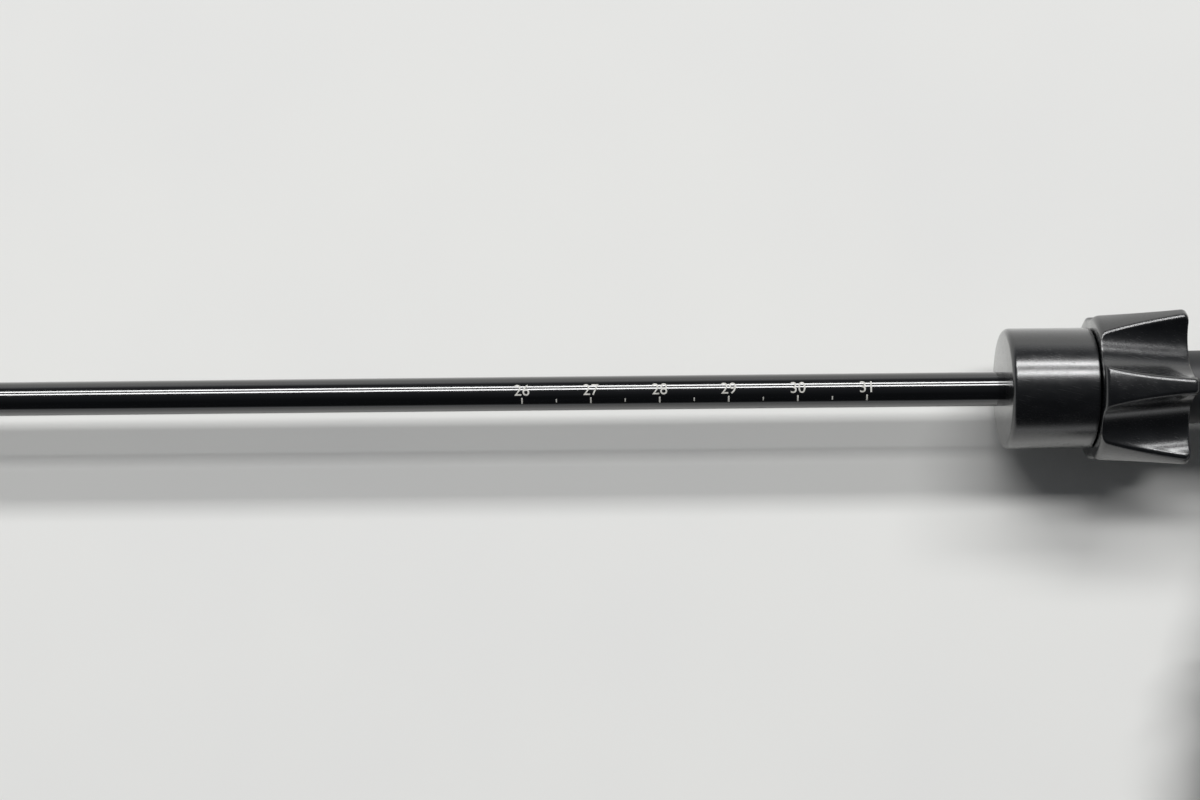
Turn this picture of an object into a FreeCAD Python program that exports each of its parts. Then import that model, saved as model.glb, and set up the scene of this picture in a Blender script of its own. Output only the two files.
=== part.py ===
import FreeCAD, Part
import math
import os
from types import SimpleNamespace

import Sketcher

# Grasping forceps for keyhole surgery: a 5 mm insulated shaft with two jaws at its far end, a
# collar and a fluted knob that turn the shaft, and a scissor handle with a ratchet.
# The shaft lies along X with the jaws towards -X. The origin is on the shaft axis in the collar's
# front face. The handle hangs towards -Y and Z is up when the instrument lies on its side.

os.makedirs("parts", exist_ok=True)
doc = FreeCAD.newDocument("grasping_forceps")

# Driving dimensions in millimetres and degrees
SIZES = [
    # Shaft
    ("shaft_radius", 2.5, "outer radius of the insulated shaft"),
    ("shaft_length", 295.0, "from the collar's front face to the jaw fork"),
    ("sleeve_wall", 0.35, "wall of the insulation sleeve"),
    ("sleeve_seat", 1.0, "how far the sleeve reaches into the collar"),
    ("sleeve_seat_radius", 2.3, "radius of the sleeve's turned-down end in the collar"),
    ("tube_wall", 0.4, "wall of the steel tube"),
    ("tube_seat", 18.0, "how far the tube reaches behind the collar's front face"),
    # Clearances
    ("running_gap", 0.05, "radial gap of pieces that turn or slide in one another"),
    ("seat_gap", 0.02, "radial gap of pieces that are fixed in one another"),
    ("side_gap", 0.2, "gap at each side of a plate that moves in a slot"),
    # Collar
    ("collar_radius", 8.8, "outer radius of the smooth collar"),
    ("collar_length", 12.35, "length of the collar"),
    ("collar_wall", 2.0, "front wall of the collar"),
    ("collar_rounding", 0.85, "rounding of the collar's front edge"),
    # Knob
    ("knob_gap", 0.15, "seam between the collar and the knob"),
    ("knob_length", 12.8, "length of the fluted knob"),
    ("knob_front_radius", 10.8, "rib radius at the knob's front"),
    ("knob_back_radius", 12.5, "rib radius at the knob's back"),
    ("knob_rounding", 0.9, "rounding of the knob's rims"),
    ("flute_count", 6, "flutes round the knob"),
    ("flute_radius", 5.4, "radius of the cutter that makes a flute"),
    ("flute_floor", 9.7, "distance of a flute's floor from the axis at the knob's front"),
    ("flute_lean", 8.9, "lean of a flute towards the axis at the knob's back, in degrees"),
    ("rib_rounding", 0.45, "rounding of the long edges of the ribs"),
    ("knob_web", 6.0, "length of the knob's keyed bore"),
    # Hub that carries tube, collar and knob
    ("hub_flange_radius", 5.45, "radius of the hub's flange in the collar"),
    ("hub_flange_length", 4.0, "length of the hub's flange"),
    ("key_flats", 8.0, "width across the flats of the hexagonal key"),
    ("tail_radius", 3.2, "radius of the hub's tail"),
    ("tail_length", 15.0, "length of the hub's tail behind the key"),
    ("seal_length", 2.2, "length of the rod seal"),
    ("ring_width", 0.7, "width of the retaining ring"),
    ("ring_radius", 4.5, "outer radius of the retaining ring"),
    ("ring_depth", 0.4, "depth of the retaining ring's groove"),
    # Neck of the handle
    ("neck_radius", 5.3, "outer radius of the neck"),
    ("neck_start", 19.0, "where the neck begins inside the knob"),
    ("neck_flange_radius", 7.2, "radius of the neck's flange"),
    ("neck_flange_length", 2.0, "length of the neck's flange"),
    ("neck_spigot_radius", 6.2, "radius of the neck inside the barrel"),
    ("neck_spigot_length", 12.0, "length of the neck inside the barrel"),
    ("neck_back_bore", 4.7, "bore of the neck behind the bush"),
    ("bush_wall", 0.65, "wall of the bush in the neck"),
    ("bush_length", 10.0, "length of the bush in the neck"),
    ("bush_setback", 1.0, "the bush's front end behind the neck's front end"),
    ("cord_radius", 0.45, "section radius of the friction ring"),
    # Handle
    ("barrel_start", 34.0, "front face of the barrel"),
    ("barrel_length", 24.0, "length of the barrel"),
    ("barrel_radius", 8.5, "outer radius of the barrel"),
    ("barrel_rounding", 5.0, "rounding of the barrel's back edge"),
    ("pivot_x", 62.0, "thumb lever's pivot along the shaft"),
    ("pivot_drop", 9.0, "thumb lever's pivot below the shaft axis"),
    ("head_back", 74.0, "back of the handle's head"),
    ("head_top", 7.8, "top of the handle's head above the shaft axis"),
    ("head_thickness", 13.6, "thickness of the handle's head"),
    ("head_rounding", 2.0, "rounding of the head's edges"),
    ("leg_front", 33.5, "front of the leg along the shaft"),
    ("leg_back", 54.5, "back of the leg along the shaft"),
    ("leg_thickness", 10.0, "thickness of the fixed handle's leg and loop"),
    ("leg_rounding", 2.3, "rounding of the leg's and loop's edges"),
    ("loop_centre_x", 45.0, "finger loop's centre along the shaft"),
    ("loop_drop", 79.5, "finger loop's centre below the shaft axis"),
    ("loop_width", 22.0, "inner width of the finger loop"),
    ("loop_height", 46.0, "inner height of the finger loop"),
    ("loop_band", 5.0, "width of the band round the finger loop"),
    # Thumb lever
    ("lever_thickness", 8.0, "thickness of the thumb lever"),
    ("lever_rounding", 1.8, "rounding of the thumb lever's edges"),
    ("ring_offset", 24.0, "thumb ring's centre behind the pivot"),
    ("ring_drop", 57.0, "thumb ring's centre below the pivot"),
    ("thumb_ring_inner", 12.0, "inner radius of the thumb ring"),
    ("thumb_ring_band", 5.0, "width of the band of the thumb ring"),
    ("swing", 20.0, "swing of the thumb lever from closed to open, in degrees"),
    ("pivot_screw_radius", 2.5, "shank radius of the pivot screw"),
    ("lever_bush_wall", 0.8, "wall of the lever's bush"),
    ("screw_head_radius", 4.2, "head radius of the pivot screw"),
    ("screw_head_height", 1.5, "head height of the pivot screw"),
    ("screw_thread_radius", 1.6, "radius of the pivot screw's thread"),
    # Ball joint between lever and rod
    ("ball_radius", 1.8, "radius of the rod's ball"),
    ("ball_gap", 0.15, "gap between the ball and its channel"),
    ("rod_neck_radius", 0.8, "radius of the rod between the ball and its shoulder"),
    ("rod_neck_length", 4.8, "length of that neck from the ball's centre"),
    ("socket_width", 8.0, "width of the ball socket along the shaft"),
    ("socket_thickness", 5.1, "thickness of the ball socket"),
    ("socket_bottom", 4.6, "bottom of the ball socket above the pivot"),
    ("socket_top", 12.4, "top of the ball socket above the pivot"),
    ("socket_pin_radius", 0.7, "radius of the rivet through the ball socket"),
    # Rod
    ("rod_radius", 1.2, "radius of the drive rod"),
    ("tang_thickness", 0.8, "thickness of the rod's flat tang"),
    ("tang_width", 1.9, "width of the rod's flat tang"),
    # Jaws
    ("jaw_length", 24.0, "from the jaw pivot to the tip"),
    ("jaw_radius", 2.4, "radius of the closed jaws"),
    ("jaw_tip_radius", 1.7, "radius of the closed jaws at the tip"),
    ("jaw_gap", 0.05, "gap between a jaw's teeth and the parting plane"),
    ("jaw_opening", 26.0, "opening of each jaw in degrees"),
    ("tooth_pitch", 1.0, "pitch of the jaw's teeth"),
    ("tooth_depth", 0.4, "depth of the jaw's teeth"),
    ("window_start", 8.0, "near end of the jaw's window from the pivot"),
    ("window_end", 18.0, "far end of the jaw's window from the pivot"),
    ("window_width", 1.8, "width of the jaw's window"),
    ("boss_radius", 1.65, "radius of the jaw round its pivot"),
    ("tail_thickness", 0.8, "thickness of the jaw's tail plate"),
    ("jaw_pin_radius", 0.6, "radius of the jaw pivot pin"),
    ("cam_pin_radius", 0.35, "radius of the cam pin"),
    ("cam_gap", 0.08, "gap between the cam pin and its slots"),
    ("cam_closed", 5.7, "cam pin behind the jaw pivot with the jaws closed"),
    ("cam_wall", 0.75, "wall round the cam slots and the end of the tang"),
    # Fork at the end of the shaft
    ("fork_radius", 2.3, "outer radius of the jaw fork"),
    ("fork_length", 11.0, "from the jaw pivot to the fork's shoulder"),
    ("fork_slot_length", 8.3, "from the jaw pivot to the end of the fork's slot"),
    ("fork_slot_width", 2.6, "width of the fork's slot"),
    ("fork_spigot_length", 6.0, "length of the fork inside the tube"),
    ("fork_bore", 1.3, "bore of the fork for the drive rod"),
    # Current post
    ("post_x", 43.0, "current post along the shaft"),
    ("post_radius", 2.0, "radius of the current post's free end"),
    ("post_stem_radius", 1.8, "radius of the current post inside its insulator"),
    ("post_top", 22.0, "top of the current post above the shaft axis"),
    ("post_foot_radius", 1.5, "radius of the post's foot in the contact block"),
    ("post_foot_end", 2.4, "lower end of the post's foot above the shaft axis"),
    ("insulator_wall", 0.75, "wall of the insulator round the post"),
    ("insulator_flange_radius", 3.9, "radius of the insulator's flange"),
    ("insulator_top", 12.0, "top of the insulator above the shaft axis"),
    ("boss_top", 9.4, "top of the handle's boss for the insulator"),
    ("contact_length", 6.5, "length of the contact block"),
    ("neck_pin_x", 37.0, "pin that holds the neck, along the shaft"),
    ("neck_pin_radius", 0.9, "radius of the pin that holds the neck"),
    # Ratchet
    ("bar_inner", 30.0, "inner radius of the ratchet bar round the lever's pivot"),
    ("bar_outer", 34.0, "outer radius of the ratchet bar"),
    ("bar_thickness", 3.0, "thickness of the ratchet bar"),
    ("bar_first", 70.5, "angle of the bar's rooted end below the shaft direction"),
    ("bar_last", 137.0, "angle of the bar's free end below the shaft direction"),
    ("ratchet_pitch", 2.0, "angle from one ratchet tooth to the next"),
    ("ratchet_depth", 0.9, "depth of the ratchet teeth"),
    ("nose_angle", 112.0, "angle of the pawl's nose below the shaft direction"),
    ("rivet_radius", 1.1, "radius of the ratchet bar's rivets"),
    ("pawl_pin_distance", 38.4, "pawl's pin from the lever's pivot"),
    ("pawl_pin_angle", 127.0, "angle of the pawl's pin below the shaft direction"),
    ("pawl_pin_radius", 1.0, "radius of the pawl's pin"),
    ("pawl_swing", 7.0, "swing of the pawl from released to engaged, in degrees"),
    ("trigger_width", 8.0, "width of the pawl's finger pad"),
    ("trigger_front", 8.7, "front of the finger pad, ahead of the pawl's pin"),
    ("trigger_depth", 2.3, "depth of the finger pad along the shaft"),
    ("trigger_top", 3.4, "top of the finger pad above the pawl's pin"),
    ("trigger_bottom", 5.1, "bottom of the finger pad below the pawl's pin"),
    ("trigger_hollow", 0.6, "how far the finger pad's front is hollowed"),
    ("spring_thickness", 0.4, "thickness of the pawl's leaf spring"),
]


class Size:
    """A number together with the spreadsheet formula that gives it."""

    def __init__(self, value, formula):
        self.value = value
        self.formula = formula

    def __add__(self, other):
        return combine(self, "+", other)

    def __radd__(self, other):
        return combine(other, "+", self)

    def __sub__(self, other):
        return combine(self, "-", other)

    def __rsub__(self, other):
        return combine(other, "-", self)

    def __mul__(self, other):
        return combine(self, "*", other)

    def __rmul__(self, other):
        return combine(other, "*", self)

    def __truediv__(self, other):
        return combine(self, "/", other)

    def __neg__(self):
        return combine(0, "-", self)


def sized(number):
    return number if isinstance(number, Size) else Size(float(number), repr(float(number)))


def combine(left, sign, right):
    left, right = sized(left), sized(right)
    results = {
        "+": left.value + right.value,
        "-": left.value - right.value,
        "*": left.value * right.value,
        "/": left.value / right.value if right.value else 0.0,
    }
    return Size(results[sign], f"({left.formula} {sign} {right.formula})")


def sine(angle):
    return Size(math.sin(math.radians(angle.value)), f"sin({angle.formula})")


def cosine(angle):
    return Size(math.cos(math.radians(angle.value)), f"cos({angle.formula})")


def tangent(angle):
    return Size(math.tan(math.radians(angle.value)), f"tan({angle.formula})")


def below(radius, angle):
    """The point at a radius round a pivot and an angle below the +X direction."""
    return radius * cosine(angle), -(radius * sine(angle))


def whole(size):
    """The whole number at or below a size."""
    return Size(math.floor(size.value + 1e-6), f"floor({size.formula} + 0.000001)")


def turned_point(point, angle):
    """A point turned anticlockwise round the local origin."""
    x, y = point
    return x * cosine(angle) - y * sine(angle), x * sine(angle) + y * cosine(angle)


sheet = doc.addObject("Spreadsheet::Sheet", "Sizes")
for row, (alias, value, note) in enumerate(SIZES, start=1):
    sheet.set(f"A{row}", note)
    sheet.set(f"B{row}", str(value))
    sheet.setAlias(f"B{row}", alias)
doc.recompute()
s = SimpleNamespace(**{alias: Size(float(value), f"Sizes.{alias}") for alias, value, _ in SIZES})

EXTRA = 2.0     # how far a cutting profile runs past the face that it cuts through
pieces = []


# Sketches
def new_sketch(body, plane="XY_Plane", height=None, lean=None):
    """A sketch in a plane of its body, at a height over it and leaning by an angle."""
    sketch = body.newObject("Sketcher::SketchObject", f"{body.Label}_sketch")
    support = next(part for part in body.Origin.OriginFeatures if part.Role == plane)
    sketch.AttachmentSupport = (support, [""])
    sketch.MapMode = "FlatFace"
    if height is not None:
        sketch.setExpression("AttachmentOffset.Base.z", sized(height).formula)
        sketch.AttachmentOffset.Base.z = sized(height).value
    if lean is not None:
        turn = FreeCAD.Rotation(FreeCAD.Vector(0, -1, 0), lean.value)
        sketch.AttachmentOffset = FreeCAD.Placement(sketch.AttachmentOffset.Base, turn)
        sketch.setExpression("AttachmentOffset.Rotation.Angle", lean.formula)
    return sketch


def bind(sketch, kind, *arguments, size):
    """Adds a constraint and ties its value to a size's formula."""
    index = sketch.addConstraint(Sketcher.Constraint(kind, *arguments, size.value))
    sketch.setExpression(f"Constraints[{index}]", size.formula)


def pin_point(sketch, geometry, position, point):
    """Fixes a point of the sketch at a place measured from the sketch's origin."""
    x, y = point
    bind(sketch, "DistanceX", -1, 1, geometry, position, size=sized(x))
    bind(sketch, "DistanceY", -1, 1, geometry, position, size=sized(y))


def vector(point):
    return FreeCAD.Vector(sized(point[0]).value, sized(point[1]).value, 0)


def outline(sketch, corners):
    """Draws a closed outline of straight sides between corners (x, y, radius).

    A corner with a radius above nought is rounded by a tangent arc.
    """
    places = [vector(corner) for corner in corners]
    radii = [sized(corner[2]) if len(corner) > 2 else sized(0) for corner in corners]
    total = len(corners)
    entries, exits = [], []
    for index, place in enumerate(places):
        to_last = (places[index - 1] - place).normalize()
        to_next = (places[(index + 1) % total] - place).normalize()
        half = to_last.getAngle(to_next) / 2
        back = radii[index].value / math.tan(half)
        entries.append(place + to_last * back)
        exits.append(place + to_next * back)
    lines = [
        sketch.addGeometry(Part.LineSegment(exits[index], entries[(index + 1) % total]))
        for index in range(total)
    ]
    for index, place in enumerate(places):
        before, after = lines[index - 1], lines[index]
        if radii[index].value == 0:
            sketch.addConstraint(Sketcher.Constraint("Coincident", before, 2, after, 1))
            pin_point(sketch, after, 1, corners[index][:2])
            continue
        round_corner(sketch, place, entries[index], exits[index], before, after, radii[index])
        corner_point = sketch.addGeometry(Part.Point(place), True)
        pin_point(sketch, corner_point, 1, corners[index][:2])
        sketch.addConstraint(Sketcher.Constraint("PointOnObject", corner_point, 1, before))
        sketch.addConstraint(Sketcher.Constraint("PointOnObject", corner_point, 1, after))


def round_corner(sketch, place, entry, leave, before, after, radius):
    """Joins two sides by a tangent arc of the given radius."""
    bisector = ((entry - place).normalize() + (leave - place).normalize()).normalize()
    reach = math.hypot((entry - place).Length, radius.value)
    centre = place + bisector * reach
    leftward = (place - entry).cross(leave - place).z > 0
    first, last = (entry, leave) if leftward else (leave, entry)
    angles = [math.atan2(end.y - centre.y, end.x - centre.x) for end in (first, last)]
    circle_shape = Part.Circle(centre, FreeCAD.Vector(0, 0, 1), radius.value)
    arc = sketch.addGeometry(Part.ArcOfCircle(circle_shape, *angles))
    entry_end, leave_end = (1, 2) if leftward else (2, 1)
    sketch.addConstraint(Sketcher.Constraint("Tangent", before, 2, arc, entry_end))
    sketch.addConstraint(Sketcher.Constraint("Tangent", after, 1, arc, leave_end))
    bind(sketch, "Radius", arc, size=radius)


def circle(sketch, centre, radius):
    radius = sized(radius)
    shape = Part.Circle(vector(centre), FreeCAD.Vector(0, 0, 1), radius.value)
    index = sketch.addGeometry(shape)
    pin_point(sketch, index, 3, centre)
    bind(sketch, "Radius", index, size=radius)


def hexagon(sketch, flats):
    """A hexagon round the sketch's origin, with two corners on its first axis."""
    reach = flats / (2 * cosine(sized(30)))
    corners = [(reach * cosine(sized(60 * turn)), reach * sine(sized(60 * turn))) for turn in range(6)]
    outline(sketch, corners)


def sector(sketch, inner, outer, first, last):
    """A ring sector round the sketch's origin, from one angle below +X to another."""
    axis = FreeCAD.Vector(0, 0, 1)
    centre = FreeCAD.Vector(0, 0, 0)
    spans = [math.radians(-last.value), math.radians(-first.value)]
    arcs = [
        sketch.addGeometry(Part.ArcOfCircle(Part.Circle(centre, axis, radius.value), *spans))
        for radius in (inner, outer)
    ]
    for arc, radius in zip(arcs, (inner, outer)):
        sketch.addConstraint(Sketcher.Constraint("Coincident", arc, 3, -1, 1))
        bind(sketch, "Radius", arc, size=radius)
    for end, angle in ((1, last), (2, first)):
        start_point = vector(below(inner, angle))
        end_point = vector(below(outer, angle))
        side = sketch.addGeometry(Part.LineSegment(start_point, end_point))
        sketch.addConstraint(Sketcher.Constraint("Coincident", side, 1, arcs[0], end))
        sketch.addConstraint(Sketcher.Constraint("Coincident", side, 2, arcs[1], end))
        sketch.addConstraint(Sketcher.Constraint("PointOnObject", -1, 1, side))
        x, y = below(outer, angle)
        if abs(math.sin(math.radians(angle.value))) > 0.7:
            bind(sketch, "DistanceX", -1, 1, arcs[1], end, size=x)
        else:
            bind(sketch, "DistanceY", -1, 1, arcs[1], end, size=y)


def arc_slot(sketch, start, middle, end, half_width):
    """A slot of constant width with round ends, along the arc through three points."""
    first, second, third = vector(start), vector(middle), vector(end)
    path = Part.Arc(first, second, third).toShape().Curve
    centre, radius, width = path.Center, path.Radius, half_width.value
    axis = FreeCAD.Vector(0, 0, 1)
    angles = [math.atan2(point.y - centre.y, point.x - centre.x) for point in (first, third)]
    if (angles[1] - angles[0]) % (2 * math.pi) > math.pi:
        first, third, start, end = third, first, end, start
        angles.reverse()
    outer = sketch.addGeometry(Part.ArcOfCircle(Part.Circle(centre, axis, radius + width), *angles))
    inner = sketch.addGeometry(Part.ArcOfCircle(Part.Circle(centre, axis, radius - width), *angles))
    low = Part.ArcOfCircle(Part.Circle(first, axis, width), angles[0] + math.pi, angles[0])
    high = Part.ArcOfCircle(Part.Circle(third, axis, width), angles[1], angles[1] + math.pi)
    low, high = sketch.addGeometry(low), sketch.addGeometry(high)
    sketch.addConstraint(Sketcher.Constraint("Coincident", outer, 3, inner, 3))
    sketch.addConstraint(Sketcher.Constraint("Tangent", outer, 1, low, 2))
    sketch.addConstraint(Sketcher.Constraint("Tangent", inner, 1, low, 1))
    sketch.addConstraint(Sketcher.Constraint("Tangent", outer, 2, high, 1))
    sketch.addConstraint(Sketcher.Constraint("Tangent", inner, 2, high, 2))
    pin_point(sketch, low, 3, start)
    pin_point(sketch, high, 3, end)
    bind(sketch, "Radius", low, size=half_width)
    guide = sketch.addGeometry(Part.Circle(centre, axis, radius), True)
    through = sketch.addGeometry(Part.Point(second), True)
    sketch.addConstraint(Sketcher.Constraint("Coincident", guide, 3, outer, 3))
    sketch.addConstraint(Sketcher.Constraint("PointOnObject", low, 3, guide))
    sketch.addConstraint(Sketcher.Constraint("PointOnObject", through, 1, guide))
    pin_point(sketch, through, 1, middle)


# Features
def new_body(label):
    body = doc.addObject("PartDesign::Body", label)
    body.Label = label
    return body


def set_size(item, name, size):
    """Gives a property its value and its formula."""
    size = sized(size)
    setattr(item, name, size.value)
    item.setExpression(name, size.formula)


def set_count(pattern, count):
    """Gives a pattern its number of copies and the formula of that number."""
    pattern.Occurrences = round(count.value)
    pattern.setExpression("Occurrences", count.formula)


def place(item, x=0, y=0, z=0, axis=None, angle=0):
    """Puts a piece at a point, turned by a fixed angle round an axis."""
    spot = [sized(number) for number in (x, y, z)]
    base = FreeCAD.Vector(*[number.value for number in spot])
    turn = FreeCAD.Rotation(FreeCAD.Vector(*(axis or (0, 0, 1))), angle)
    item.Placement = FreeCAD.Placement(base, turn)
    for letter, number in zip("xyz", spot):
        item.setExpression(f"Placement.Base.{letter}", number.formula)


def pad(body, sketch, length, symmetric=False, backward=False):
    feature = body.newObject("PartDesign::Pad", f"{body.Label}_pad")
    feature.Profile = sketch
    set_size(feature, "Length", length)
    feature.SideType = "Symmetric" if symmetric else "One side"
    feature.Reversed = backward
    doc.recompute()
    return feature


def pocket(body, sketch, length, symmetric=False, backward=False):
    feature = body.newObject("PartDesign::Pocket", f"{body.Label}_pocket")
    feature.Profile = sketch
    set_size(feature, "Length", length)
    feature.SideType = "Symmetric" if symmetric else "One side"
    feature.Reversed = backward
    doc.recompute()
    return feature


def revolve(body, sketch, axis="H_Axis", angle=360, kind="PartDesign::Revolution", symmetric=False):
    feature = body.newObject(kind, f"{body.Label}_{kind.split('::')[1].lower()}")
    feature.Profile = sketch
    feature.ReferenceAxis = (sketch, [axis])
    feature.Angle = angle
    feature.Midplane = symmetric
    doc.recompute()
    return feature


def pattern_round(body, feature, axis, count, angle):
    """Repeats a feature round an axis of its body over an angle."""
    copies = body.newObject("PartDesign::PolarPattern", f"{body.Label}_polar")
    copies.Originals = [feature]
    copies.Axis = (next(part for part in body.Origin.OriginFeatures if part.Role == axis), [""])
    set_size(copies, "Angle", angle)
    set_count(copies, count)
    body.Tip = copies
    doc.recompute()
    return copies


def pattern_along(body, feature, axis, count, length, backward=False):
    """Repeats a feature along an axis of its body over a length."""
    copies = body.newObject("PartDesign::LinearPattern", f"{body.Label}_row")
    copies.Originals = [feature]
    copies.Direction = (next(part for part in body.Origin.OriginFeatures if part.Role == axis), [""])
    copies.Reversed = backward
    set_size(copies, "Length", length)
    set_count(copies, count)
    body.Tip = copies
    doc.recompute()
    return copies


def round_edges(body, radius, wanted):
    """Rounds every edge of the body's latest feature that the test picks."""
    base = body.Tip
    names = [
        f"Edge{index}"
        for index, edge in enumerate(base.Shape.Edges, start=1)
        if wanted(edge)
    ]
    feature = body.newObject("PartDesign::Fillet", f"{body.Label}_fillet")
    feature.Base = (base, names)
    set_size(feature, "Radius", radius)
    doc.recompute()
    return feature


def in_plane(height):
    """A test for edges that lie at a height above or below the middle plane."""
    level = sized(height).value

    def test(edge):
        return all(abs(abs(vertex.Z) - level) < 1e-4 for vertex in edge.Vertexes) and (
            abs(abs(edge.CenterOfMass.z) - level) < 1e-4
        )

    return test


# Kinds of piece
def turned(label, corners, axis="X"):
    """A turned piece: a profile (along, radius, rounding) spun round an axis of its own frame."""
    body = new_body(label)
    if axis == "X":
        sketch = new_sketch(body)
        outline(sketch, corners)
        revolve(body, sketch, "H_Axis")
    else:
        sketch = new_sketch(body, "XY_Plane" if axis == "Y" else "XZ_Plane")
        outline(sketch, [(corner[1], corner[0], *corner[2:]) for corner in corners])
        revolve(body, sketch, "V_Axis")
    return body


def ring_profile(start, end, inner, outer):
    return [(start, inner), (start, outer), (end, outer), (end, inner)]


def bar_profile(start, end, radius, rounding):
    return [(start, 0), (start, radius, rounding), (end, radius, rounding), (end, 0)]


def keep(label, item, **where):
    """Lists a finished piece under its node's name."""
    item.Label = label
    if where:
        place(item, **where)
    pieces.append(item)
    return item


# Shaft
def make_sleeve():
    inner = s.shaft_radius - s.sleeve_wall
    profile = [
        (-s.shaft_length, inner),
        (-s.shaft_length, s.shaft_radius),
        (0, s.shaft_radius),
        (0, s.sleeve_seat_radius),
        (s.sleeve_seat, s.sleeve_seat_radius),
        (s.sleeve_seat, inner),
    ]
    return keep("insulation_sleeve", turned("insulation_sleeve", profile))


def make_tube():
    outer = s.shaft_radius - s.sleeve_wall
    profile = ring_profile(-s.shaft_length, s.tube_seat, outer - s.tube_wall, outer)
    return keep("shaft_tube", turned("shaft_tube", profile))


# Collar and knob
def make_collar():
    bore = s.sleeve_seat_radius + s.seat_gap
    tube_bore = s.shaft_radius - s.sleeve_wall + s.seat_gap
    cavity = s.hub_flange_radius + s.seat_gap
    corners = [
        (0, bore),
        (0, s.collar_radius, s.collar_rounding),
        (s.collar_length, s.collar_radius, s.collar_rounding / 4),
        (s.collar_length, cavity),
        (s.collar_wall, cavity),
        (s.collar_wall, tube_bore),
        (s.sleeve_seat, tube_bore),
        (s.sleeve_seat, bore),
    ]
    return keep("collar", turned("collar", corners))


def make_knob():
    front = s.collar_length + s.knob_gap
    back = front + s.knob_length
    web_end = front + s.knob_web
    blank_bore = s.key_flats / 2 - 1
    corners = [
        (front, blank_bore),
        (front, s.knob_front_radius, s.knob_rounding),
        (back, s.knob_back_radius, s.knob_rounding),
        (back, s.neck_radius + s.running_gap),
        (web_end, s.neck_radius + s.running_gap),
        (web_end, blank_bore),
    ]
    body = turned("rotation_knob", corners)
    run_up = 3 * EXTRA
    at_front = s.flute_floor + s.flute_radius / cosine(s.flute_lean)
    flute = new_sketch(body, "YZ_Plane", front - run_up, lean=s.flute_lean)
    circle(flute, (cosine(s.flute_lean) * (at_front + run_up * tangent(s.flute_lean)), 0), s.flute_radius)
    cut = pocket(body, flute, s.knob_length + 2 * run_up, backward=True)
    pattern_round(body, cut, "X_Axis", s.flute_count, 360)
    rim_front, rim_back = front.value, back.value

    def rib_edge(edge):
        ends = sorted(vertex.X for vertex in edge.Vertexes)
        long_enough = len(ends) == 2 and ends[1] - ends[0] > 0.7 * (rim_back - rim_front)
        radius = math.hypot(edge.CenterOfMass.y, edge.CenterOfMass.z)
        return long_enough and radius > s.flute_floor.value + 0.3

    round_edges(body, s.rib_rounding, rib_edge)
    key = new_sketch(body, "YZ_Plane", front)
    hexagon(key, s.key_flats + 2 * s.seat_gap)
    pocket(body, key, s.knob_web, backward=True)
    return keep("rotation_knob", body)


# Hub, seal and retaining ring inside
def make_hub():
    bore = s.shaft_radius - s.sleeve_wall + s.seat_gap
    rod_bore = s.rod_radius + 3 * s.running_gap
    flange_end = s.collar_wall + s.hub_flange_length
    seal_end = s.tube_seat + s.seal_length
    end = s.tube_seat + s.tail_length
    groove = ring_place()
    corners = [
        (s.collar_wall, bore),
        (s.collar_wall, s.hub_flange_radius),
        (flange_end, s.hub_flange_radius),
        (flange_end, s.tail_radius),
        (groove, s.tail_radius),
        (groove, s.tail_radius - s.ring_depth),
        (groove + s.ring_width, s.tail_radius - s.ring_depth),
        (groove + s.ring_width, s.tail_radius),
        (end, s.tail_radius),
        (end, rod_bore),
        (seal_end, rod_bore),
        (seal_end, bore),
    ]
    body = turned("shaft_hub", corners)
    key = new_sketch(body, "YZ_Plane", flange_end)
    hexagon(key, s.key_flats)
    circle(key, (0, 0), bore)
    pad(body, key, s.tube_seat - flange_end)
    return keep("shaft_hub", body)


def bush_end():
    return s.neck_start + s.bush_setback + s.bush_length


def ring_place():
    """The retaining ring runs just behind the bush."""
    return bush_end() + 2 * s.running_gap


def make_seal():
    outer = s.shaft_radius - s.sleeve_wall + s.seat_gap
    profile = ring_profile(s.tube_seat, s.tube_seat + s.seal_length, s.rod_radius + s.running_gap, outer)
    return keep("rod_seal", turned("rod_seal", profile))


def make_retaining_ring():
    start = ring_place()
    inner = s.tail_radius - s.ring_depth
    body = turned("retaining_ring", ring_profile(start, start + s.ring_width, inner, s.ring_radius))
    return keep("retaining_ring", body)


# Neck, its bush and its friction ring
def make_neck():
    bush_radius = s.tail_radius + s.running_gap + s.bush_wall
    flange_start = s.barrel_start - s.neck_flange_length
    end = s.barrel_start + s.neck_spigot_length
    groove = friction_place() - s.cord_radius
    groove_floor = s.neck_radius - 2 * s.cord_radius
    corners = [
        (s.neck_start, bush_radius),
        (s.neck_start, s.neck_radius),
        (groove, s.neck_radius),
        (groove, groove_floor),
        (groove + 2 * s.cord_radius, groove_floor),
        (groove + 2 * s.cord_radius, s.neck_radius),
        (flange_start, s.neck_radius),
        (flange_start, s.neck_flange_radius, 0.6),
        (s.barrel_start, s.neck_flange_radius),
        (s.barrel_start, s.neck_spigot_radius),
        (end, s.neck_spigot_radius),
        (end, s.neck_back_bore),
        (bush_end(), s.neck_back_bore),
        (bush_end(), bush_radius),
    ]
    body = turned("handle_neck", corners)
    hole = new_sketch(body, "XZ_Plane")
    circle(hole, (s.post_x, 0), s.post_stem_radius + s.insulator_wall + 2 * s.seat_gap)
    pocket(body, hole, s.neck_spigot_radius + EXTRA)
    notch = new_sketch(body)
    circle(notch, (s.neck_pin_x, s.neck_spigot_radius), s.neck_pin_radius + s.seat_gap)
    pocket(body, notch, 4 * s.neck_spigot_radius, symmetric=True)
    return keep("handle_neck", body)


def friction_place():
    """The friction ring sits halfway between the neck's start and the knob's back."""
    return (s.neck_start + s.collar_length + s.knob_gap + s.knob_length) / 2


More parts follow.
